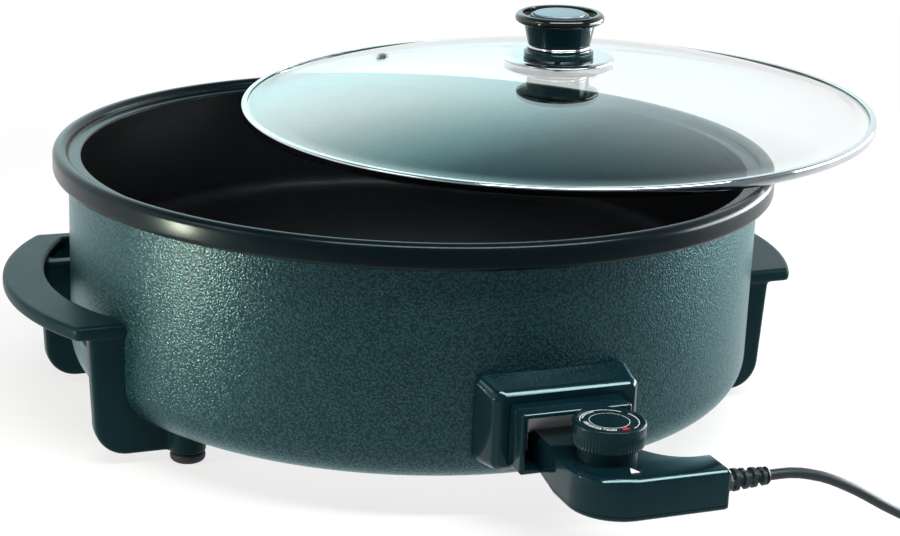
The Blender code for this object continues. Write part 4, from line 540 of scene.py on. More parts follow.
def settle(made, slot, body, nodes=(), finish=None, sharp_deg=SHARP_DEG):
    """Gives a piece its finish, or else its slot's, hides the CAD nodes it stands for and ties it to its
    body.
    """
    paint(made, finish or SLOT_FINISH.get(slot, slot))
    made.data.shade_smooth()
    made.data.set_sharp_from_angle(angle=math.radians(sharp_deg))
    if nodes:
        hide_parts(*nodes)
    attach(made, body)
    return made


def piece(name, bm, slot, body, nodes=(), place=VESSEL, finish=None, sharp_deg=SHARP_DEG):
    return settle(bare(name, bm, place), slot, body, nodes, finish, sharp_deg)


def evaluated(target):
    """The mesh that an object's modifiers or text make."""
    graph = bpy.context.evaluated_depsgraph_get()
    return bpy.data.meshes.new_from_object(target.evaluated_get(graph))


def bake(target):
    mesh = evaluated(target)
    target.modifiers.clear()
    target.data = mesh


def carve(target, tool, operation="DIFFERENCE"):
    """Applies one Boolean step at once and removes its tool."""
    step = target.modifiers.new("Carve", "BOOLEAN")
    step.operation = operation
    step.solver = "EXACT"
    step.object = tool
    bake(target)
    bpy.data.objects.remove(tool)


def cut(target, bm):
    carve(target, bare("tool", bm))


def join(target, bm, place):
    carve(target, bare("tool", bm, place), "UNION")


def rolled(target, width):
    """Rounds an object's sharp edges."""
    step = target.modifiers.new("Rolled", "BEVEL")
    step.width = width
    step.segments = ROLL_STEPS
    step.limit_method = "ANGLE"
    step.angle_limit = math.radians(RIB_SHARP_DEG)
    bake(target)
    return target


# Tints of what the paint, the mouldings and the glass reflect, and other shared values of the finishes
TEAL_SHEEN = (0.55, 0.95, 1.0, 1.0)
TEAL_GLOSS = (0.5, 0.95, 1.0, 1.0)
GLASS_SHEEN = (0.60, 1.0, 1.0, 1.0)
GLASS_SHADOW = (0.86, 0.94, 0.93, 1)
GLASS_DRIFT = (14, 1, 0.4)
GLASS_TINTS = ((0.90, 0.965, 0.955), (0.925, 0.975, 0.967))
HAMMER_WARP_SCALE = 420
HAMMER_WARP = (0.0016, 0.0016, 0.0016)
HAMMER_CELL_SCALE = 780
HAMMER_CELL_SOFTNESS = 0.35
HAMMER_HOLLOWS = (1.0, 0.0, 0.1, 0.75)
HAMMER_FLECKS = (1200, 2, 0.6)
HAMMER_FLECK_SHARE = 0.9
HAMMER_HEIGHTS = (0.0, 1.0, 0.35, 1.55)
HAMMER_POLISH = (0.4, 0.24)
HAMMER_RELIEF = (0.4, 0.0005)
HAMMER_TINTS = ((0.0040, 0.0230, 0.0290), (0.0090, 0.0440, 0.0520), (0.0270, 0.0830, 0.0920))
HAMMER_STOPS = (0.2, 0.5, 0.85)
FLECK_STOPS = (0.4, 0.62, 0.72)
DRIFT_STOPS = (0.3, 0.7)
FINE_BUMP = 0.0001
BROAD_BUMP = 0.0003
MATT_SWING = 0.06


def feed(tree, sockets, values):
    """Sets each socket to a number or a colour, or links it to another node's output."""
    for socket, value in zip(sockets, values):
        if isinstance(value, bpy.types.NodeSocket):
            tree.links.new(value, socket)
        else:
            socket.default_value = value


def node(tree, kind, settings=None, **values):
    """Adds a node with its settings and the values of its named inputs."""
    made = tree.nodes.new(kind)
    for key, value in (settings or {}).items():
        setattr(made, key, value)
    feed(tree, [made.inputs[key.replace("_", " ")] for key in values], values.values())
    return made


def maths(tree, operation, *values):
    made = node(tree, "ShaderNodeMath", {"operation": operation})
    feed(tree, made.inputs, values)
    return made.outputs["Value"]


def vectors(tree, operation, *values, output="Vector"):
    made = node(tree, "ShaderNodeVectorMath", {"operation": operation})
    feed(tree, made.inputs, values)
    return made.outputs[output]


def axis_part(tree, where, axis):
    return node(tree, "ShaderNodeSeparateXYZ", None, Vector=where).outputs[axis]


def blend(tree, share, first, second):
    """The first shader where the share is 0, the second where it is 1."""
    made = node(tree, "ShaderNodeMixShader", None, Fac=share)
    feed(tree, made.inputs[1:], (first, second))
    return made.outputs["Shader"]


def ramp(tree, factor, stops, colours):
    """A colour ramp through the given colours, each at its stop."""
    made = node(tree, "ShaderNodeValToRGB", None, Fac=factor)
    line = made.color_ramp
    while len(line.elements) < len(stops):
        line.elements.new(0.5)
    for element, position, colour in zip(line.elements, stops, colours):
        element.position = position
        element.color = (*colour, 1)
    return made.outputs["Color"]


def spread(tree, value, low, high, start=0.0, end=1.0):
    """Maps a value between start and end to the range from low to high."""
    limits = {"From_Min": start, "From_Max": end, "To_Min": low, "To_Max": high}
    return node(tree, "ShaderNodeMapRange", None, Value=value, **limits).outputs["Result"]


def noise(tree, where, scale, detail, roughness):
    values = {"Vector": where, "Scale": scale, "Detail": detail, "Roughness": roughness}
    return node(tree, "ShaderNodeTexNoise", None, **values).outputs["Fac"]


def surface(name, roughness, **constants):
    """A Principled material; the constants are sockets that stay the same all over."""
    made = bpy.data.materials.new(name)
    made.use_nodes = True
    tree = made.node_tree
    shader = tree.nodes["Principled BSDF"]
    shader.inputs["Roughness"].default_value = roughness
    for key, value in constants.items():
        shader.inputs[key.replace("_", " ")].default_value = value
    return made, tree, shader, node(tree, "ShaderNodeTexCoord").outputs["Object"]


def dress(tree, shader, colour, roughness):
    tree.links.new(colour, shader.inputs["Base Color"])
    tree.links.new(roughness, shader.inputs["Roughness"])


def emboss(tree, height, strength, distance, *normals):
    """Links a bump to the given inputs of the shader."""
    bump = node(tree, "ShaderNodeBump", None, Strength=strength, Distance=distance, Height=height)
    for normal in normals:
        tree.links.new(bump.outputs["Normal"], normal)


def textured(
    name,
    roughness,
    tints,
    pattern,
    polish,
    relief=None,
    polish_pattern=None,
    relief_pattern=None,
    stops=DRIFT_STOPS,
    stretch=(1, 1, 1),
    **constants,
):
    """A finish whose tints, roughness and relief follow noise, each its own pattern or else the first.

    A pattern is the noise's scale, detail and roughness, polish the lowest and highest roughness of the
    finish, and relief the bump's strength and distance.
    """
    made, tree, shader, where = surface(name, roughness, **constants)
    where = node(tree, "ShaderNodeMapping", None, Vector=where, Scale=stretch).outputs["Vector"]
    drift = noise(tree, where, *pattern)
    smear = noise(tree, where, *(polish_pattern or pattern))
    grain = noise(tree, where, *(relief_pattern or pattern))
    dress(tree, shader, ramp(tree, drift, stops, tints), spread(tree, smear, *polish))
    if relief:
        emboss(tree, grain, *relief, shader.inputs["Normal"])
    return made


def hammered_finish():
    """Hammered paint: pale metallic bumps a little over 1 mm across, in a net of dark hollows."""
    look = {"Specular_Tint": TEAL_SHEEN, "Coat_Weight": 0.36, "Coat_Roughness": 0.2}
    made, tree, shader, where = surface("hammered_paint", 0.3, Metallic=0.6, Specular_IOR_Level=0.3, **look)
    warp = node(tree, "ShaderNodeTexNoise", None, Vector=where, Scale=HAMMER_WARP_SCALE, Detail=1)
    warped = vectors(tree, "MULTIPLY_ADD", warp.outputs["Color"], HAMMER_WARP, where)
    values = {"Vector": warped, "Scale": HAMMER_CELL_SCALE, "Smoothness": HAMMER_CELL_SOFTNESS}
    cells = node(tree, "ShaderNodeTexVoronoi", {"feature": "SMOOTH_F1"}, **values).outputs["Distance"]
    hollows = spread(tree, cells, *HAMMER_HOLLOWS)
    bumps = maths(tree, "MULTIPLY_ADD", noise(tree, where, *HAMMER_FLECKS), HAMMER_FLECK_SHARE, hollows)
    height = spread(tree, bumps, *HAMMER_HEIGHTS)
    colour = ramp(tree, height, HAMMER_STOPS, HAMMER_TINTS)
    dress(tree, shader, colour, spread(tree, height, *HAMMER_POLISH))
    emboss(tree, height, *HAMMER_RELIEF, shader.inputs["Normal"], shader.inputs["Coat Normal"])
    return made


def shine(level, coat=0.0, coat_roughness=0.03):
    """How strongly a dark finish reflects, with a teal tint, and the weight and roughness of its coat."""
    values = {"Specular_IOR_Level": level, "Specular_Tint": TEAL_GLOSS}
    return {**values, "Coat_Weight": coat, "Coat_Roughness": coat_roughness}


def rim_finish():
    """Dark gloss paint on the rolled rim and the seat."""
    tints = ((0.0008, 0.0032, 0.0045), (0.0012, 0.0044, 0.0060))
    look = {"relief": (0.05, FINE_BUMP), "relief_pattern": (900, 2, 0.5), **shine(0.12, 0.16, 0.2)}
    return textured("rim_paint", 0.2, tints, (30, 2, 0.5), (0.2, 0.28), **look)


def nonstick_finish():
    """Non-stick coating: nearly black, satin, with fine flecks."""
    tints = ((0.0014, 0.0013, 0.0016), (0.0026, 0.0025, 0.0030), (0.008, 0.009, 0.010))
    look = {"relief": (0.12, FINE_BUMP), "polish_pattern": (22, 3, 0.55), "Specular_IOR_Level": 0.05}
    return textured("nonstick_coating", 0.4, tints, (1500, 1, 0.5), (0.34, 0.5), stops=FLECK_STOPS, **look)


def moulded_finish():
    """Satin phenolic mouldings, with a fine matt grain."""
    tints = ((0.0030, 0.0125, 0.0160), (0.0042, 0.0160, 0.0200))
    look = {"relief": (0.1, FINE_BUMP), "relief_pattern": (1400, 3, 0.6), **shine(0.09)}
    return textured("moulded_phenolic", 0.36, tints, (35, 2, 0.5), (0.3, 0.4), **look)


def gloss_finish():
    """High-gloss mouldings with a slight moulding waviness."""
    tints = ((0.0020, 0.0110, 0.0150), (0.0028, 0.0140, 0.0190))
    look = {"relief": (0.03, BROAD_BUMP), "polish_pattern": (220, 3, 0.6), **shine(0.26, 0.12, 0.05)}
    return textured("gloss_black", 0.1, tints, (60, 1, 0.4), (0.06, 0.13), **look)


def dial_finish():
    """The dial's plastic, a little less glossy than the case."""
    tints = ((0.0030, 0.0110, 0.0150), (0.0045, 0.0150, 0.0200))
    look = {"relief": (0.05, FINE_BUMP), **shine(0.22)}
    return textured("dial_plastic", 0.24, tints, (320, 3, 0.6), (0.2, 0.32), **look)


def chrome_finish():
    tints = ((0.60, 0.65, 0.66), (0.70, 0.74, 0.75))
    return textured("chrome", 0.06, tints, (90, 3, 0.6), (0.04, 0.11), Metallic=1.0)


def smoked_finish():
    """Black gloss that mirrors more strongly than the other mouldings."""
    tints = ((0.0015, 0.0030, 0.0038), (0.0022, 0.0045, 0.0055))
    look = {"Specular_IOR_Level": 0.45, "Coat_Weight": 0.3, "Coat_Roughness": 0.04}
    return textured("smoked_gloss", 0.06, tints, (120, 3, 0.6), (0.04, 0.1), **look)


def cast_finish():
    tints = ((0.52, 0.53, 0.54), (0.66, 0.67, 0.68))
    look = {"relief": (0.35, BROAD_BUMP), "Metallic": 1.0}
    return textured("cast_aluminium", 0.5, tints, (600, 3, 0.6), (0.42, 0.6), **look)


def guard_finish():
    """Satin aluminised steel of the guard plate: pale, with fine rolling marks."""
    tints = ((0.86, 0.84, 0.83), (0.96, 0.94, 0.93))
    look = {"relief": (0.06, FINE_BUMP), "stretch": (1, 18, 18)}
    return textured("guard_plate", 0.4, tints, (600, 2, 0.5), (0.34, 0.48), **look)


def brushed(name, tints, polish, scale=700, stretch=(1, 1, 24)):
    """Brushed or turned metal: noise drawn out along its marks."""
    look = {"relief": (0.06, FINE_BUMP), "stretch": stretch, "Metallic": 1.0}
    return textured(name, 0.3, tints, (scale, 2, 0.5), polish, **look)


def matt(name, tints, roughness, scale, strength):
    """A plain non-metal with slight colour drift and grain."""
    polish = (roughness - MATT_SWING, roughness + MATT_SWING)
    return textured(name, roughness, tints, (scale, 3, 0.6), polish, (strength, FINE_BUMP))


def glass_finish():
    """Toughened glass with a faint green-blue tint, which lets lamps shine through."""
    look = {"Specular_Tint": GLASS_SHEEN, "Coat_Weight": 0.6, "Coat_Roughness": 0.01}
    made, tree, shader, where = surface("glass", 0.0, IOR=1.5, Transmission_Weight=1.0, **look)
    colour = ramp(tree, noise(tree, where, *GLASS_DRIFT), DRIFT_STOPS, GLASS_TINTS)
    tree.links.new(colour, shader.inputs["Base Color"])
    through = node(tree, "ShaderNodeBsdfTransparent", None, Color=GLASS_SHADOW).outputs["BSDF"]
    shadow = node(tree, "ShaderNodeLightPath").outputs["Is Shadow Ray"]
    mixed = blend(tree, shadow, shader.outputs["BSDF"], through)
    tree.links.new(mixed, tree.nodes["Material Output"].inputs["Surface"])
    return made


FINISH = {
    "hammered": hammered_finish(),
    "rim": rim_finish(),
    "nonstick": nonstick_finish(),
    "moulded": moulded_finish(),
    "gloss": gloss_finish(),
    "dial": dial_finish(),
    "chrome": chrome_finish(),
    "smoked": smoked_finish(),
    "steel": brushed("plated_steel", ((0.50, 0.51, 0.52), (0.60, 0.61, 0.62)), (0.28, 0.42)),
    "cap": brushed("brushed_cap", ((0.26, 0.33, 0.37), (0.38, 0.46, 0.50)), (0.3, 0.45), 500, (1, 26, 1)),
    "cast": cast_finish(),
    "guard": guard_finish(),
    "rubber": matt("rubber", ((0.0040, 0.0050, 0.0056), (0.0080, 0.0095, 0.0105)), 0.75, 700, 0.3),
    "ceramic": matt("ceramic", ((0.70, 0.68, 0.62), (0.80, 0.78, 0.72)), 0.6, 300, 0.1),
    "brass": brushed("contact_brass", ((0.70, 0.52, 0.24), (0.82, 0.64, 0.33)), (0.25, 0.4)),
    "glass": glass_finish(),
    "print": matt("dial_print", ((0.74, 0.78, 0.78), (0.84, 0.87, 0.87)), 0.45, 900, 0.05),
    "red": matt("red_print", ((0.42, 0.012, 0.030), (0.52, 0.018, 0.040)), 0.4, 900, 0.05),
    "cord": matt("cord_sheath", ((0.0045, 0.0120, 0.0140), (0.0080, 0.0190, 0.0220)), 0.42, 400, 0.12),
}
NODE_FINISH = {"heat_shield": "guard", "dial_scale_ring": "gloss", "dial_centre_cap": "gloss"}

# Slots whose finish has another name than the slot
SLOT_FINISH = {
    "shell_paint": "hammered",
    "aluminium": "cast",
    "handle_moulding": "moulded",
    "gloss_moulding": "gloss",
}


def dress_nodes():
    """Each CAD node takes its slot's finish or its own, which shows where nothing replaces the node."""
    for row in frame["record"]["subparts"]:
        slot = row["material_slot"]
        paint(frame["nodes"][row["node"]], NODE_FINISH.get(row["node"], SLOT_FINISH.get(slot, slot)))


def pan_profile():
    """The cooking pan: rolled rim, lid seat, wall and floor, from the hem's inner foot round and back."""
    bead = BEAD_WIDTH / 2
    fillet_centre = (PAN_FLOOR_RADIUS - PAN_FILLET, COOK_Z + PAN_FILLET)
    low = RIM_HEIGHT - BEAD_HEIGHT / 2
    profile = [(WALL_FACE, low)]
    profile += arc((RIM_RADIUS - HEM_FILLET, low + HEM_FILLET), HEM_FILLET, -QUARTER, 0)
    profile += arc((RIM_RADIUS - bead, RIM_TOP - bead), bead, 0, 2 * QUARTER, 2 * FILLET_STEPS)
    inner = (BEAD_INNER - SEAT_FILLET, SEAT_Z + SEAT_FILLET)
    profile += arc(inner, SEAT_FILLET, 0, -QUARTER, CORNER_STEPS)
    outer = (SEAT_INNER + SEAT_FILLET, SEAT_Z - SEAT_FILLET)
    profile += arc(outer, SEAT_FILLET, QUARTER, 2 * QUARTER, CORNER_STEPS)
    profile += arc(fillet_centre, PAN_FILLET, 0, -QUARTER)
    profile += [(0, COOK_Z), (0, PAN_UNDER)]
    profile += arc(fillet_centre, PAN_FILLET + PAN_FLOOR, -QUARTER, 0)
    shoulder = SEAT_Z - PAN_WALL
    outside = SEAT_INNER + PAN_WALL
    profile += [(outside, shoulder - SEAT_FILLET), (outside + SEAT_FILLET, shoulder), (WALL_FACE, shoulder)]
    return profile


SHELL_CENTRE = (SHELL_RADIUS - SHELL_FILLET, SHELL_BOTTOM + SHELL_FILLET)


def shell_profile():
    lip = SHELL_CENTRE[0] - SHELL_LIP
    profile = [(SHELL_RADIUS, SHELL_TOP)]
    profile += arc(SHELL_CENTRE, SHELL_FILLET, 0, -QUARTER, 2 * FILLET_STEPS)
    profile += [(lip, SHELL_BOTTOM), (lip, SHELL_BOTTOM + SHELL_WALL)]
    profile += arc(SHELL_CENTRE, SHELL_FILLET - SHELL_WALL, -QUARTER, 0, 2 * FILLET_STEPS)
    return profile + [(SHELL_RADIUS - SHELL_WALL, SHELL_TOP)]


def cut_to_wall(made):
    """Takes away what reaches into the space that the shell and its clearance take up."""
    profile = [(0, RIM_TOP), (WALL_FACE, RIM_TOP)]
    profile += arc(SHELL_CENTRE, SHELL_FILLET + GAP, 0, -QUARTER, 2 * FILLET_STEPS)
    cut(made, turned(profile + [(0, SHELL_BOTTOM - GAP)]))


def make_vessel():
    pan = piece("pan_body", turned(pan_profile()), "nonstick", "vessel", ["cooking_pan"])
    pan.data.materials.append(FINISH["rim"])
    for face in pan.data.polygons:
        reach = (face.center - AXIS).xy.length
        face.material_index = int(reach > SEAT_INNER - GAP and face.center.z > SHELL_TOP - BEAD_HEIGHT)
    shell = bare("shell_body", turned(shell_profile()))
    half = WINDOW_WIDTH / 2
    window = rectangle((SOCKET_X - half, WINDOW_BOTTOM), (SOCKET_X + half, WINDOW_TOP))
    cut(shell, prism(window, SHELL_RADIUS - OVERRUN, SHELL_RADIUS + OVERRUN, UPRIGHT))
    settle(shell, "shell_paint", "vessel", ["outer_shell"])


def make_socket():
    """Bezel and shroud on the wall."""
    root = SHELL_RADIUS - SOCKET_ROOT
    left = SOCKET_X - SHROUD_WIDTH / 2
    right = SOCKET_X + SHROUD_WIDTH / 2
    front = SHELL_RADIUS + BEZEL_REACH
    outline = rectangle((BEZEL_LEFT, BEZEL_BOTTOM), (BEZEL_RIGHT, BEZEL_TOP), BEZEL_CORNER)
    low = (BEZEL_LEFT + BEZEL_SLOPE, BEZEL_BOTTOM)
    face = rectangle(low, (BEZEL_RIGHT, BEZEL_TOP - BEZEL_SLOPE), BEZEL_CORNER)
    levels = [(root, outline), (SHELL_RADIUS, outline)] + edge_levels(front, BEZEL_EDGE, face)
    bezel = bare("bezel", lofted(levels, UPRIGHT))
    hole = rectangle((left - GAP, SHROUD_BOTTOM - GAP), (right + GAP, SHROUD_TOP + GAP), SHROUD_CORNER)
    cut(bezel, prism(hole, root - OVERRUN, front + OVERRUN, UPRIGHT))
    cut_to_wall(bezel)
    settle(bezel, "gloss_moulding", "vessel", ["socket_bezel"], sharp_deg=CASE_SHARP_DEG)
    front = SHELL_RADIUS + SHROUD_REACH
    outer = rectangle((left, SHROUD_BOTTOM), (right, SHROUD_TOP), SHROUD_CORNER)
    shroud = bare("shroud", lofted([(root, outer)] + edge_levels(front, SHROUD_EDGE, outer), UPRIGHT))
    low = (left + SHROUD_WALL, SHROUD_BOTTOM + SHROUD_WALL)
    bore = rectangle(low, (right - SHROUD_WALL, SHROUD_TOP - SHROUD_WALL), SHROUD_EDGE)
    cut(shroud, prism(bore, root - OVERRUN, front + OVERRUN, UPRIGHT))
    cut_to_wall(shroud)
    settle(shroud, "gloss_moulding", "vessel", ["socket_shroud"], sharp_deg=CASE_SHARP_DEG)


def wall_x(y):
    """Where the handles' inner edge lies at a given Y."""
    return math.sqrt(LEG_ROOT ** 2 - y ** 2)


def circle_x(centre, radius, y):
    return centre[0] + math.sqrt(radius ** 2 - (y - centre[1]) ** 2)


def grip_outline(outer):
    """The crescent of a handle at +X seen from above, counter-clockwise from its front outer corner."""
    points = []
    for index in range(GRIP_STEPS + 1):
        y = GRIP_FRONT + (GRIP_BACK - GRIP_FRONT) * index / GRIP_STEPS
        points.append((circle_x(GRIP_OUTER_CENTRE, outer, y), y))
    inside_y = GRIP_BACK - GRIP_PAD
    points += [(wall_x(GRIP_BACK), GRIP_BACK), (wall_x(inside_y), inside_y)]
    far_radius = GRIP_NEAR_CENTRE[0] + GRIP_NEAR - GRIP_FAR_CENTRE[0]
    middle = GRIP_NEAR_CENTRE[1]
    half_steps = GRIP_STEPS // 2
    for index in range(half_steps + 1):
        y = inside_y + (middle - inside_y) * index / half_steps
        points.append((circle_x(GRIP_FAR_CENTRE, far_radius, y), y))
    low = math.asin((GRIP_FRONT + GRIP_MOUTH - middle) / GRIP_NEAR)
    points += arc(GRIP_NEAR_CENTRE, GRIP_NEAR, 0, low, half_steps)[1:]
    return points + [(wall_x(GRIP_FRONT), GRIP_FRONT + GRIP_MOUTH), (wall_x(GRIP_FRONT), GRIP_FRONT)]


def leg_outline():
    """A leg and its arm, seen along Y: from the grip down, round the corner and in under the pan."""
    centre = (LEG_REACH - LEG_TAPER - ARM_CORNER, ARM_BOTTOM + ARM_CORNER)
    points = [(LEG_REACH, GRIP_MIDDLE)]
    points += arc(centre, ARM_CORNER, 0, -QUARTER, 2 * FILLET_STEPS)
    return points + [(FOOT_X, ARM_BOTTOM), (FOOT_X, SHELL_BOTTOM + SHELL_FILLET), (LEG_ROOT, GRIP_MIDDLE)]


def gusset(start_y, side):
    """A curved web between a leg and the underside of the grip, along the grip's outer edge."""
    rings = []
    inner = GUSSET_RADIUS - GUSSET_WIDTH
    for index in range(GUSSET_STEPS + 1):
        share = index / GUSSET_STEPS
        y = start_y - side * GUSSET_LENGTH * share
        low = GRIP_UNDER - GUSSET_DEPTH * (1 - math.sin(QUARTER * share) + GUSSET_TIP_SHARE)
        corners = ((GUSSET_RADIUS, low), (GUSSET_RADIUS, GRIP_MIDDLE), (inner, GRIP_MIDDLE), (inner, low))
        rings.append([(circle_x(GRIP_OUTER_CENTRE, radius, y), y, z) for radius, z in corners])
    return tube(bmesh.new(), rings)


def make_handle(name, side, node_name, outer):
    """One handle moulding; side is 1 at +X and -1 at -X. Its forms are joined, remeshed and smoothed."""
    mirror = VESSEL @ Matrix.Diagonal((side, 1, 1, 1))
    made = rolled(bare(name, prism(grip_outline(outer), GRIP_UNDER, GRIP_TOP), mirror), GRIP_EDGE)
    boss = rectangle((0, BOSS_BOTTOM), (BOSS_RADIUS, SHELL_BOTTOM + GAP))
    for end, face, foot_y in ((-1, LEG_FRONT, FOOT_FRONT), (1, LEG_REAR, FOOT_REAR)):
        inner_face = face - end * LEG_THICKNESS
        leg = prism(leg_outline(), -max(face, inner_face), -min(face, inner_face), UPRIGHT)
        carve(made, rolled(bare("leg", leg, mirror), LEG_CHAMFER), "UNION")
        place = Matrix.Translation((FOOT_X, foot_y, 0))
        join(made, turned(boss, SMALL_STEPS, place), mirror)
        join(made, gusset((face + inner_face) / 2, end), mirror)
    pad_low = (LEG_ROOT - PAD_ROOT, GRIP_BACK - GRIP_PAD)
    pad = rectangle(pad_low, (LEG_ROOT + PAD_REACH, GRIP_BACK - GAP), LEG_CHAMFER)
    join(made, prism(pad, GRIP_UNDER - PAD_DEPTH, GRIP_MIDDLE), mirror)
    remesh = made.modifiers.new("Mould", "REMESH")
    remesh.mode = "VOXEL"
    remesh.voxel_size = MOULD_VOXEL
    smooth = made.modifiers.new("Soften", "SMOOTH")
    smooth.factor = MOULD_EASE_SHARE
    smooth.iterations = MOULD_SMOOTHING
    bake(made)
    cut_to_wall(made)
    settle(made, "handle_moulding", "vessel", [node_name], sharp_deg=MOULD_SHARP_DEG)


def make_feet():
    top = BOSS_BOTTOM - GAP
    profile = [(0, top), (FOOT_RADIUS, top), (FOOT_RADIUS, FOOT_EDGE), (FOOT_RADIUS - FOOT_EDGE, 0), (0, 0)]
    profile = rounded(profile, FOOT_EDGE, False)
    for side, hand in ((-1, "left"), (1, "right")):
        for row, foot_y in (("front", FOOT_FRONT), ("rear", FOOT_REAR)):
            place = VESSEL @ Matrix.Translation((side * FOOT_X, foot_y, 0))
            foot = turned(profile, SMALL_STEPS)
            piece(f"pad_{hand}_{row}", foot, "rubber", "vessel", [f"foot_{hand}_{row}"], place)


def lid_place():
    """Where the lid's ring lies: it touches the rim at two points and tips about the line through them."""
    crest = RIM_RADIUS - BEAD_WIDTH / 2
    band = LID_RADIUS - RING_WIDTH / 2
    line = (LID_SHIFT ** 2 + crest ** 2 - band ** 2) / (2 * LID_SHIFT)
    tilt = math.radians(LID_TILT_DEG)
    heading = math.radians(LID_SHIFT_DEG)
    height = RIM_TOP + 2 * GAP + (LID_SHIFT - line) * math.tan(tilt)
    spot = Vector((LID_SHIFT * math.cos(heading), LID_SHIFT * math.sin(heading), height))
    axis = Vector((math.sin(heading), -math.cos(heading), 0))
    return VESSEL @ Matrix.Translation(spot) @ Matrix.Rotation(tilt, 4, axis)


LID = lid_place()


def make_lid():
    inner = LID_RADIUS - RING_WIDTH
    bottom = LID_RADIUS - RING_WALL
    crest = GLASS_EDGE_Z + GLASS_THICKNESS
    profile = [(inner, 0), (LID_RADIUS, 0), (LID_RADIUS, RING_HEIGHT), (inner + RING_ROUND, RING_HEIGHT)]
    profile += [(inner + RING_ROUND, crest + GAP), (bottom, crest + GAP)]
    profile += [(bottom, GLASS_EDGE_Z - GAP), (inner, GLASS_EDGE_Z - GAP)]
    piece("rim_band", turned(rounded(profile, RING_ROUND)), "chrome", "lid", ["lid_rim_band"], LID)
    dome_radius = GLASS_RADIUS - GLASS_BORDER
    over = []
    for index in range(GLASS_STEPS + 1):
        radius = KNOB_BORE + (dome_radius - KNOB_BORE) * index / GLASS_STEPS
        share = min(1, radius / dome_radius) ** GLASS_POWER
        over.append((radius, crest + (GLASS_RISE - crest) * (1 - share)))
    over.append((GLASS_RADIUS, crest))
    under = [(radius, height - GLASS_THICKNESS) for radius, height in reversed(over)]
    piece("glass_dome", turned(over + under), "glass", "lid", ["lid_glass"], LID)


def knob_piece(name, profile, slot, nodes=(), finish=None):
    piece(name, turned(profile, KNOB_STEPS), slot, "lid", nodes, LID, finish)


def make_knob_foot():
    """The flange, the flared base and the neck ring."""
    top = FLANGE_Z + FLANGE_THICKNESS
    dish = top - FLANGE_DISH / 2
    flange = [(KNOB_BORE, FLANGE_Z), (FLANGE_RADIUS, FLANGE_Z), (FLANGE_RADIUS, top - FLANGE_DISH)]
    flange += [(FLANGE_RADIUS - 3 * FLANGE_DISH, top), (BASE_RADIUS, dish), (KNOB_BORE, dish)]
    knob_piece("flange", rounded(flange, FLANGE_DISH), "chrome", ["knob_flange"])
    waist = (BASE_RADIUS, BASE_Z + BASE_HEIGHT)
    base = [(KNOB_BORE, BASE_Z), (BASE_RADIUS, BASE_Z)]
    base += arc(waist, BASE_RADIUS - KNOB_LOW_RADIUS, -QUARTER, -2 * QUARTER)
    knob_piece("base", base + [(KNOB_BORE, waist[1])], "gloss_moulding", ["knob_base"])
    half = NECK_HEIGHT / 2
    ring = [(KNOB_BORE, NECK_Z), (KNOB_LOW_RADIUS - GAP, NECK_Z)]
    ring += arc((NECK_RADIUS - half, NECK_Z + half), half, -QUARTER, QUARTER, 2 * FILLET_STEPS)
    knob_piece("neck_ring", ring + [(KNOB_BORE, NECK_Z + NECK_HEIGHT)], "chrome", ["knob_neck_ring"])


def make_knob_head():
    """The knob's body with its trim, and the cap in its recess."""
    body_top = BODY_Z + KNOB_BODY_HEIGHT
    rim_top = body_top + KNOB_RIM_HEIGHT
    half = KNOB_RIM_HEIGHT / 2
    floor = rim_top - KNOB_RECESS
    centre = (KNOB_RIM_RADIUS - half, body_top + half)
    recess = KNOB_RIM_RADIUS - KNOB_RIM_WIDTH
    body = [(KNOB_BORE, BODY_Z), (KNOB_LOW_RADIUS, BODY_Z), (KNOB_HIGH_RADIUS, body_top)]
    body += arc(centre, half - GAP, -QUARTER, QUARTER, 2 * FILLET_STEPS)
    body += [(recess, floor), (KNOB_BORE, floor)]
    knob_piece("knob_moulding", body, "gloss_moulding", ["knob_body"])
    trim = arc(centre, half, -QUARTER / 3, QUARTER, 2 * FILLET_STEPS)
    trim += [(recess, rim_top - GAP), (recess - GAP, floor + GAP), (recess - 2 * GAP, floor + GAP / 2)]
    knob_piece("knob_trim", trim + [(recess + GAP, floor - GAP), centre], "gloss_moulding", finish="smoked")
    low = floor + GAP
    disc = rounded(rectangle((0, low), (CAP_RADIUS, low + CAP_HEIGHT)), CAP_HEIGHT / 3, False)
    knob_piece("cap_disc", disc, "steel", ["knob_cap"], "cap")
    groove = rectangle((CAP_RADIUS + GAP, low - GAP), (CAP_RADIUS + CAP_HEIGHT, low + CAP_HEIGHT / 2))
    knob_piece("cap_ring", rounded(groove, CAP_HEIGHT / 4), "gloss_moulding")


def case_outline():
    """The control's case from above: nose, elbow, arm and the bay behind the arm."""
    points = [(SOCKET_X - NOSE_HALF_WIDTH, NOSE_Y)]
    points += arc((ELBOW_X, ELBOW_Y), ELBOW_RADIUS, 2 * QUARTER, QUARTER, ELBOW_STEPS)
    corner = ARM_CORNER_ROUND
    points += arc((ARM_END_X - corner, CASE_FRONT_Y - corner), corner, QUARTER, 0)
    points += arc((ARM_END_X - corner, ARM_BACK_Y + corner), corner, 0, -QUARTER)
    for index in range(BAY_STEPS + 1):
        angle = QUARTER * index / BAY_STEPS
        x = BAY_X - (BAY_X - BAY_SIDE_X) * math.sin(angle)
        points.append((x, SHOULDER_Y + (ARM_BACK_Y - SHOULDER_Y) * math.cos(angle)))
    points += [(SOCKET_X + NOSE_HALF_WIDTH, SHOULDER_Y), (SOCKET_X + NOSE_HALF_WIDTH, NOSE_Y)]
    return [(x, -y) for x, y in points]


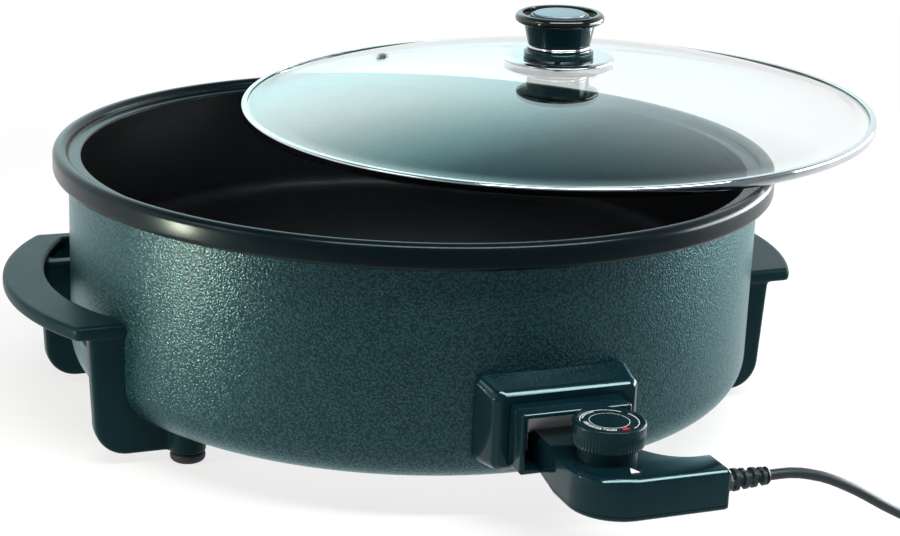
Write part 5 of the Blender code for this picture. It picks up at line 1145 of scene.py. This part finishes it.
def case_half(name, levels, node_name):
    """Half of the case, cut away below the nose and below the slope that leads down to the body."""
    made = bare(name, lofted(levels))
    under = [(0, 0), (0, NOSE_BOTTOM), (NOSE_SLOPE_START, NOSE_BOTTOM), (NOSE_SLOPE_START, NOSE_STEP)]
    under += [(NOSE_SLOPE_END, CASE_BOTTOM), (NOSE_SLOPE_END, 0)]
    turn = Matrix(((0, 0, 1, 0), (-1, 0, 0, 0), (0, 1, 0, 0), (0, 0, 0, 1)))
    cut(made, prism(under, -ARM_END_X, ARM_END_X, turn))
    settle(made, "gloss_moulding", "control", [node_name], sharp_deg=CASE_SHARP_DEG)


def make_case():
    outline = case_outline()
    upper = [(CASE_PARTING + GAP / 2, outline)] + edge_levels(CASE_TOP, CASE_EDGE, outline)
    case_half("case_top", upper, "control_case_upper")
    collar = rectangle((0, CASE_TOP - GAP), (COLLAR_RADIUS, CASE_TOP + COLLAR_HEIGHT))
    place = VESSEL @ Matrix.Translation((DIAL_X, -DIAL_Y, 0))
    shape = turned(collar, KNOB_STEPS)
    piece("case_collar", shape, "gloss_moulding", "control", place=place, finish="moulded")
    lower = [(CASE_PARTING - GAP / 2, outline)] + edge_levels(CASE_BOTTOM, CASE_EDGE / 2, outline, -1)
    case_half("case_cover", lower, "control_case_lower")


def ribbed_circle(radius, depth=0):
    """A circle of fine rounded ribs; with no depth it is plain, with as many points."""
    points = []
    steps = DIAL_RIB_POINTS * DIAL_RIBS
    for index in range(steps):
        angle = TURN * index / steps
        reach = radius - depth * (0.5 - 0.5 * math.cos(angle * DIAL_RIBS)) ** 2
        points.append((reach * math.cos(angle), reach * math.sin(angle)))
    return points


def make_dial():
    edge = DIAL_ROUND / 3
    rib_radius = DIAL_LOW_RADIUS + (DIAL_RADIUS - DIAL_LOW_RADIUS) * DIAL_RIB_TOP / DIAL_HEIGHT
    low_ring = ribbed_circle(DIAL_LOW_RADIUS)
    levels = [(0, ribbed_circle(DIAL_LOW_RADIUS - edge)), (edge, low_ring), (2 * edge, low_ring)]
    levels += [(3 * edge, ribbed_circle(DIAL_LOW_RADIUS, DIAL_RIB_DEPTH))]
    levels += [(DIAL_RIB_TOP, ribbed_circle(rib_radius, DIAL_RIB_DEPTH))]
    levels += [(DIAL_RIB_TOP + edge, ribbed_circle(rib_radius))]
    round_centre = (DIAL_RADIUS - DIAL_ROUND, DIAL_HEIGHT - DIAL_ROUND)
    for radius, height in arc(round_centre, DIAL_ROUND, 0, QUARTER, EDGE_STEPS):
        levels.append((height, ribbed_circle(radius)))
    levels += [(DIAL_HEIGHT - GAP, ribbed_circle(DIAL_RECESS_RADIUS + GAP / 2))]
    levels += [(DIAL_HEIGHT - DIAL_RECESS, ribbed_circle(DIAL_RECESS_RADIUS))]
    place = VESSEL @ Matrix.Translation((DIAL_X, -DIAL_Y, DIAL_Z - DIAL_SKIRT))
    piece("dial_body", lofted(levels), "gloss_moulding", "dial", ["dial_knob"], place, "dial", RIB_SHARP_DEG)


def arc_band(bm, radius, width, start_deg, end_deg):
    """Adds a thin raised band of print along an arc on the dial's face."""
    sweep = end_deg - start_deg
    steps = round(sweep / PRINT_STEP_DEG)
    low = radius - width / 2
    high = radius + width / 2
    corners = ((low, 0), (high, 0), (high, PRINT_HEIGHT), (low, PRINT_HEIGHT))
    full = sweep >= 360
    rings = []
    for index in range(steps if full else steps + 1):
        angle = math.radians(start_deg + sweep * index / steps)
        rings.append([(reach * math.cos(angle), reach * math.sin(angle), z) for reach, z in corners])
    return tube(bm, rings, full)


def number_print(text, angle):
    """One number of the scale, its foot towards the middle of the dial."""
    curve = bpy.data.curves.new("number", "FONT")
    curve.body = text
    curve.size = NUMBER_SIZE
    curve.align_x = "CENTER"
    curve.align_y = "CENTER"
    curve.extrude = PRINT_HEIGHT / 2
    letters = linked("number", curve)
    bpy.context.view_layer.update()
    bm = bmesh.new()
    bm.from_mesh(evaluated(letters))
    bpy.data.objects.remove(letters)
    spot = (NUMBER_RADIUS * math.cos(angle), NUMBER_RADIUS * math.sin(angle), PRINT_HEIGHT / 2)
    local = Matrix.Translation(spot) @ Matrix.Rotation(angle + QUARTER, 4, "Z")
    bmesh.ops.transform(bm, matrix=local, verts=bm.verts)
    return bm


def make_dial_print():
    """White rings and numbers on the dial's face, with a red mark at the scale's end."""
    place = VESSEL @ Matrix.Translation((DIAL_X, -DIAL_Y, SCALE_TOP + PRINT_LIFT))
    marks = bmesh.new()
    for band in PRINT_ARCS:
        arc_band(marks, *band)
    piece("dial_rings", marks, "print", "dial", place=place)
    low = RED_MARK_DEG - RED_MARK_SWEEP_DEG / 2
    red = arc_band(bmesh.new(), NUMBER_RADIUS, RED_MARK_WIDTH, low, low + RED_MARK_SWEEP_DEG)
    piece("dial_red_mark", red, "print", "dial", place=place, finish="red")
    for index, text in enumerate(NUMBERS):
        number = number_print(text, math.radians(NUMBER_START_DEG + NUMBER_STEP_DEG * index))
        piece(f"dial_number_{index + 1}", number, "print", "dial", place=place)


def relief_ring(along, depth, slot):
    """A ring at a distance along the strain relief: at depth 0 a slotted rib, at 1 the core between ribs."""
    radius = RELIEF_RADIUS + (RELIEF_END_RADIUS - RELIEF_RADIUS) * along / RELIEF_LENGTH
    points = []
    for index in range(SMALL_STEPS):
        angle = TURN * index / SMALL_STEPS
        open_side = max(0.0, math.cos(2 * (angle - slot)) - RELIEF_SLOT_SHARE) / (1 - RELIEF_SLOT_SHARE)
        groove = RELIEF_SLOT_DEPTH * min(1, RELIEF_SLOT_RISE * open_side)
        reach = radius - RELIEF_RIB_DEPTH * depth - groove * (1 - depth)
        points.append((reach * math.cos(angle), reach * math.sin(angle)))
    return along, points


def make_relief():
    """The strain relief: a core with four ribs, each slotted a quarter turn from the last."""
    pitch = RELIEF_LENGTH / (RELIEF_RIBS + 1)
    start = circle(RELIEF_RADIUS, SMALL_STEPS)
    levels = [(0, start), (pitch / 2, start)]
    for index in range(1, RELIEF_RIBS + 1):
        for step, depth in RIB_SHARES:
            levels.append(relief_ring(pitch * (index + 0.5 + step), depth, QUARTER * (index % 2)))
    levels.append((RELIEF_LENGTH - RELIEF_RIB_DEPTH / 2, circle(RELIEF_END_RADIUS, SMALL_STEPS)))
    levels.append((RELIEF_LENGTH, circle(RELIEF_END_RADIUS * RELIEF_END_SHARE, SMALL_STEPS)))
    place = VESSEL @ facing((1, 0, 0), (ARM_END_X + GAP, -CORD_Y, CORD_HEIGHT))
    shape = lofted(levels)
    return piece("cord_relief", shape, "cord", "control", ["strain_relief"], place, sharp_deg=RIB_SHARP_DEG)


def coil_radius(inner, t):
    """The coil's radius, t turns after its narrowest place."""
    return inner + COIL_PITCH * math.sqrt(t * t + COIL_SOFTENING ** 2)


def coil_points(meet, base):
    """One unbroken coil: in on the lower layer, up as it reverses, and out on the upper layer."""
    half = COIL_TURNS / 2
    inner = COIL_RADIUS - COIL_PITCH * half / 2
    centre_y = meet.y + coil_radius(inner, half)
    count = round(COIL_TURNS * COIL_POINTS)
    points = []
    for index in range(count + 1):
        t = -half + COIL_TURNS * index / count
        angle = -QUARTER + TURN * (t + half)
        radius = coil_radius(inner, t)
        climb = min(1, max(0, t / COIL_CLIMB + 0.5))
        height = base + COIL_LAYER * climb * climb * (3 - 2 * climb)
        x = meet.x + radius * math.cos(angle)
        points.append(Vector((x, centre_y + radius * math.sin(angle), height)))
    return points + [points[-1] + Vector((0, COIL_TAIL, 0))]


def cord_curve(points):
    curve = bpy.data.curves.new("mains_cord", "CURVE")
    curve.dimensions = "3D"
    curve.bevel_depth = CORD_RADIUS
    curve.bevel_resolution = CORD_ROUNDING
    curve.use_fill_caps = True
    spline = curve.splines.new("POLY")
    spline.points.add(len(points) - 1)
    for point, spot in zip(spline.points, points):
        point.co = (*spot, 1)
    spline.use_smooth = True
    curve.materials.append(FINISH["cord"])
    return linked("mains_cord", curve)


def make_cord(relief):
    """The mains cord in one stretch: from the strain relief down, along the surface and round the coil."""
    start = Vector((ARM_END_X + 2 * GAP + RELIEF_LENGTH, -CORD_Y, CORD_HEIGHT))
    run = smooth_route([start + Vector(point) for point in CORD_ROUTE], CORD_STEP)
    meet = run[-1] + Vector((GAP + CORD_DIAMETER, 0, 0))
    points = [VESSEL @ point for point in run + coil_points(meet, CORD_RADIUS + TIE_THICKNESS + GAP)]
    made = cord_curve(points)
    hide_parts("supply_cord", "cord_coil")
    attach(made, "control")
    plug = make_plug(points[-1] + Vector((0, GAP, 0)))


def make_plug(start):
    """A moulded plug that lies beside the coil, its axis along +Y; the CAD's blades stand in it."""
    half = PLUG_WIDTH / 2
    waist = PLUG_WAIST / 2
    low = start.z * PLUG_WAIST / PLUG_WIDTH
    levels = []
    for along, radius in ((0, PLUG_NECK_RADIUS), (PLUG_NECK_LENGTH, PLUG_NECK_RADIUS + RELIEF_RIB_DEPTH / 2)):
        levels.append((along, rectangle((-radius, -radius), (radius, radius), radius * NECK_CORNER_SHARE)))
    for along, share in PLUG_SHARES:
        width = waist + (half - waist) * share
        height = low + (start.z - low) * share
        corner = min(PLUG_CORNER, height * PLUG_CORNER_SHARE)
        outline = rectangle((-width, -height), (width, height), corner)
        levels.append((PLUG_NECK_LENGTH + PLUG_LENGTH * along, outline))
    place = facing((0, 1, 0), start)
    return piece("plug_moulding", lofted(levels), "cord", "control", ["plug_body"], place)


def aimed(made, spot, *axes):
    """Moves an object to a spot and turns its own axes to the given directions."""
    made.matrix_world = Matrix.Translation(spot) @ Matrix(axes).transposed().to_4x4()


def make_camera():
    turn = Matrix.Rotation(math.radians(CAMERA_TURN_DEG), 3, "Z")
    right, up, ahead = (turn @ Vector(axis).normalized() for axis in (CAMERA_RIGHT, CAMERA_UP, CAMERA_AHEAD))
    lens = bpy.data.cameras.new("camera")
    lens.sensor_width = SENSOR_WIDTH
    lens.lens = FOCAL_PIXELS * SENSOR_WIDTH / PHOTO_WIDTH
    lens.clip_start = CAMERA_NEAR
    made = linked("camera", lens)
    aimed(made, turn @ Vector(CAMERA_PLACE) + Vector((AXIS.x, AXIS.y, RIM_HEIGHT)), right, up, -ahead)
    bpy.context.scene.camera = made


def background_rays(tree):
    """1 for rays that see the studio's background: from the camera, off gloss or through glass."""
    rays = node(tree, "ShaderNodeLightPath").outputs
    gloss = maths(tree, "MAXIMUM", rays["Is Camera Ray"], rays["Is Glossy Ray"])
    return maths(tree, "MAXIMUM", gloss, rays["Is Transmission Ray"])


def make_world():
    """White for the camera, fill light for diffuse rays, and for gloss and glass a shaded sky with a card.

    The sky is dimmer overhead and towards the front; the card is a soft teal patch at the back.
    """
    world = bpy.data.worlds.new("studio")
    world.use_nodes = True
    bpy.context.scene.world = world
    tree = world.node_tree
    tree.nodes.clear()
    where = node(tree, "ShaderNodeTexCoord").outputs["Generated"]
    sky = ramp(tree, axis_part(tree, where, "Z"), SKY_STOPS, SKY_COLOURS)
    across = spread(tree, axis_part(tree, where, "Y"), 0.0, 1.0, -1.0, 1.0)
    dimmed = vectors(tree, "MULTIPLY", sky, ramp(tree, across, FRONT_STOPS, FRONT_COLOURS))
    lobe = vectors(tree, "DOT_PRODUCT", where, CARD_DIRECTION, output="Value")
    card = ramp(tree, lobe, CARD_STOPS, CARD_COLOURS)
    both = vectors(tree, "MULTIPLY_ADD", card, CARD_STRENGTH, dimmed)
    fill = node(tree, "ShaderNodeBackground", None, Color=FILL_COLOUR, Strength=FILL_STRENGTH)
    seen = node(tree, "ShaderNodeBackground", None, Color=both)
    white = node(tree, "ShaderNodeBackground", None, Color=WHITE)
    backdrop = blend(tree, background_rays(tree), fill.outputs["Background"], seen.outputs["Background"])
    camera_ray = node(tree, "ShaderNodeLightPath").outputs["Is Camera Ray"]
    mixed = blend(tree, camera_ray, backdrop, white.outputs["Background"])
    node(tree, "ShaderNodeOutputWorld", None, Surface=mixed)


def make_floor():
    """White paper that glows for rays that see the background; gloss sees it darker towards the front."""
    bm = bmesh.new()
    bmesh.ops.create_circle(bm, cap_ends=True, segments=FLOOR_STEPS, radius=FLOOR_RADIUS)
    made = meshed("floor", bm)
    finish = bpy.data.materials.new("floor")
    finish.use_nodes = True
    tree = finish.node_tree
    tree.nodes.clear()
    where = node(tree, "ShaderNodeTexCoord").outputs["Object"]
    reach = vectors(tree, "LENGTH", where, output="Value")
    rising = spread(tree, reach, FLOOR_GLOW, 1.0, GLOW_START, GLOW_END)
    share = maths(tree, "MULTIPLY", background_rays(tree), rising)
    gloss = node(tree, "ShaderNodeLightPath").outputs["Is Glossy Ray"]
    across = spread(tree, axis_part(tree, where, "Y"), 0.0, 1.0, FRONT_END, FRONT_START)
    front = ramp(tree, across, (0, 1), FRONT_COLOURS)
    tint = node(tree, "ShaderNodeMix", {"data_type": "RGBA"}, Factor=gloss, A=WHITE, B=front)
    glow = node(tree, "ShaderNodeEmission", None, Color=tint.outputs["Result"]).outputs["Emission"]
    paper = node(tree, "ShaderNodeBsdfDiffuse", None, Color=FLOOR_COLOUR).outputs["BSDF"]
    mixed = blend(tree, maths(tree, "MAXIMUM", share, gloss), paper, glow)
    node(tree, "ShaderNodeOutputMaterial", None, Surface=mixed)
    made.data.materials.append(finish)


def make_lamp(name, spot, target, side, size, power, colour):
    """A softbox that faces a target, its first side along a given direction."""
    lamp = bpy.data.lights.new(name, "AREA")
    lamp.shape = "RECTANGLE"
    lamp.size, lamp.size_y = size
    lamp.energy = power
    lamp.color = colour
    back = (Vector(spot) - Vector(target)).normalized()
    first = Vector(side)
    first = (first - back * first.dot(back)).normalized()
    aimed(linked(name, lamp), spot, first, back.cross(first), back)


make_camera()
dress_nodes()
make_cord(make_relief())
make_vessel()
make_socket()
make_handle("left_moulding", -1, "left_handle", GRIP_OUTER_LEFT)
make_handle("right_moulding", 1, "right_handle", GRIP_OUTER_RIGHT)
make_feet()
make_lid()
make_knob_foot()
make_knob_head()
make_case()
make_dial()
make_dial_print()
make_world()
make_floor()
for softbox in SOFTBOXES:
    make_lamp(*softbox)

scene = bpy.context.scene
scene.view_settings.view_transform = "Standard"
bpy.context.view_layer.update()
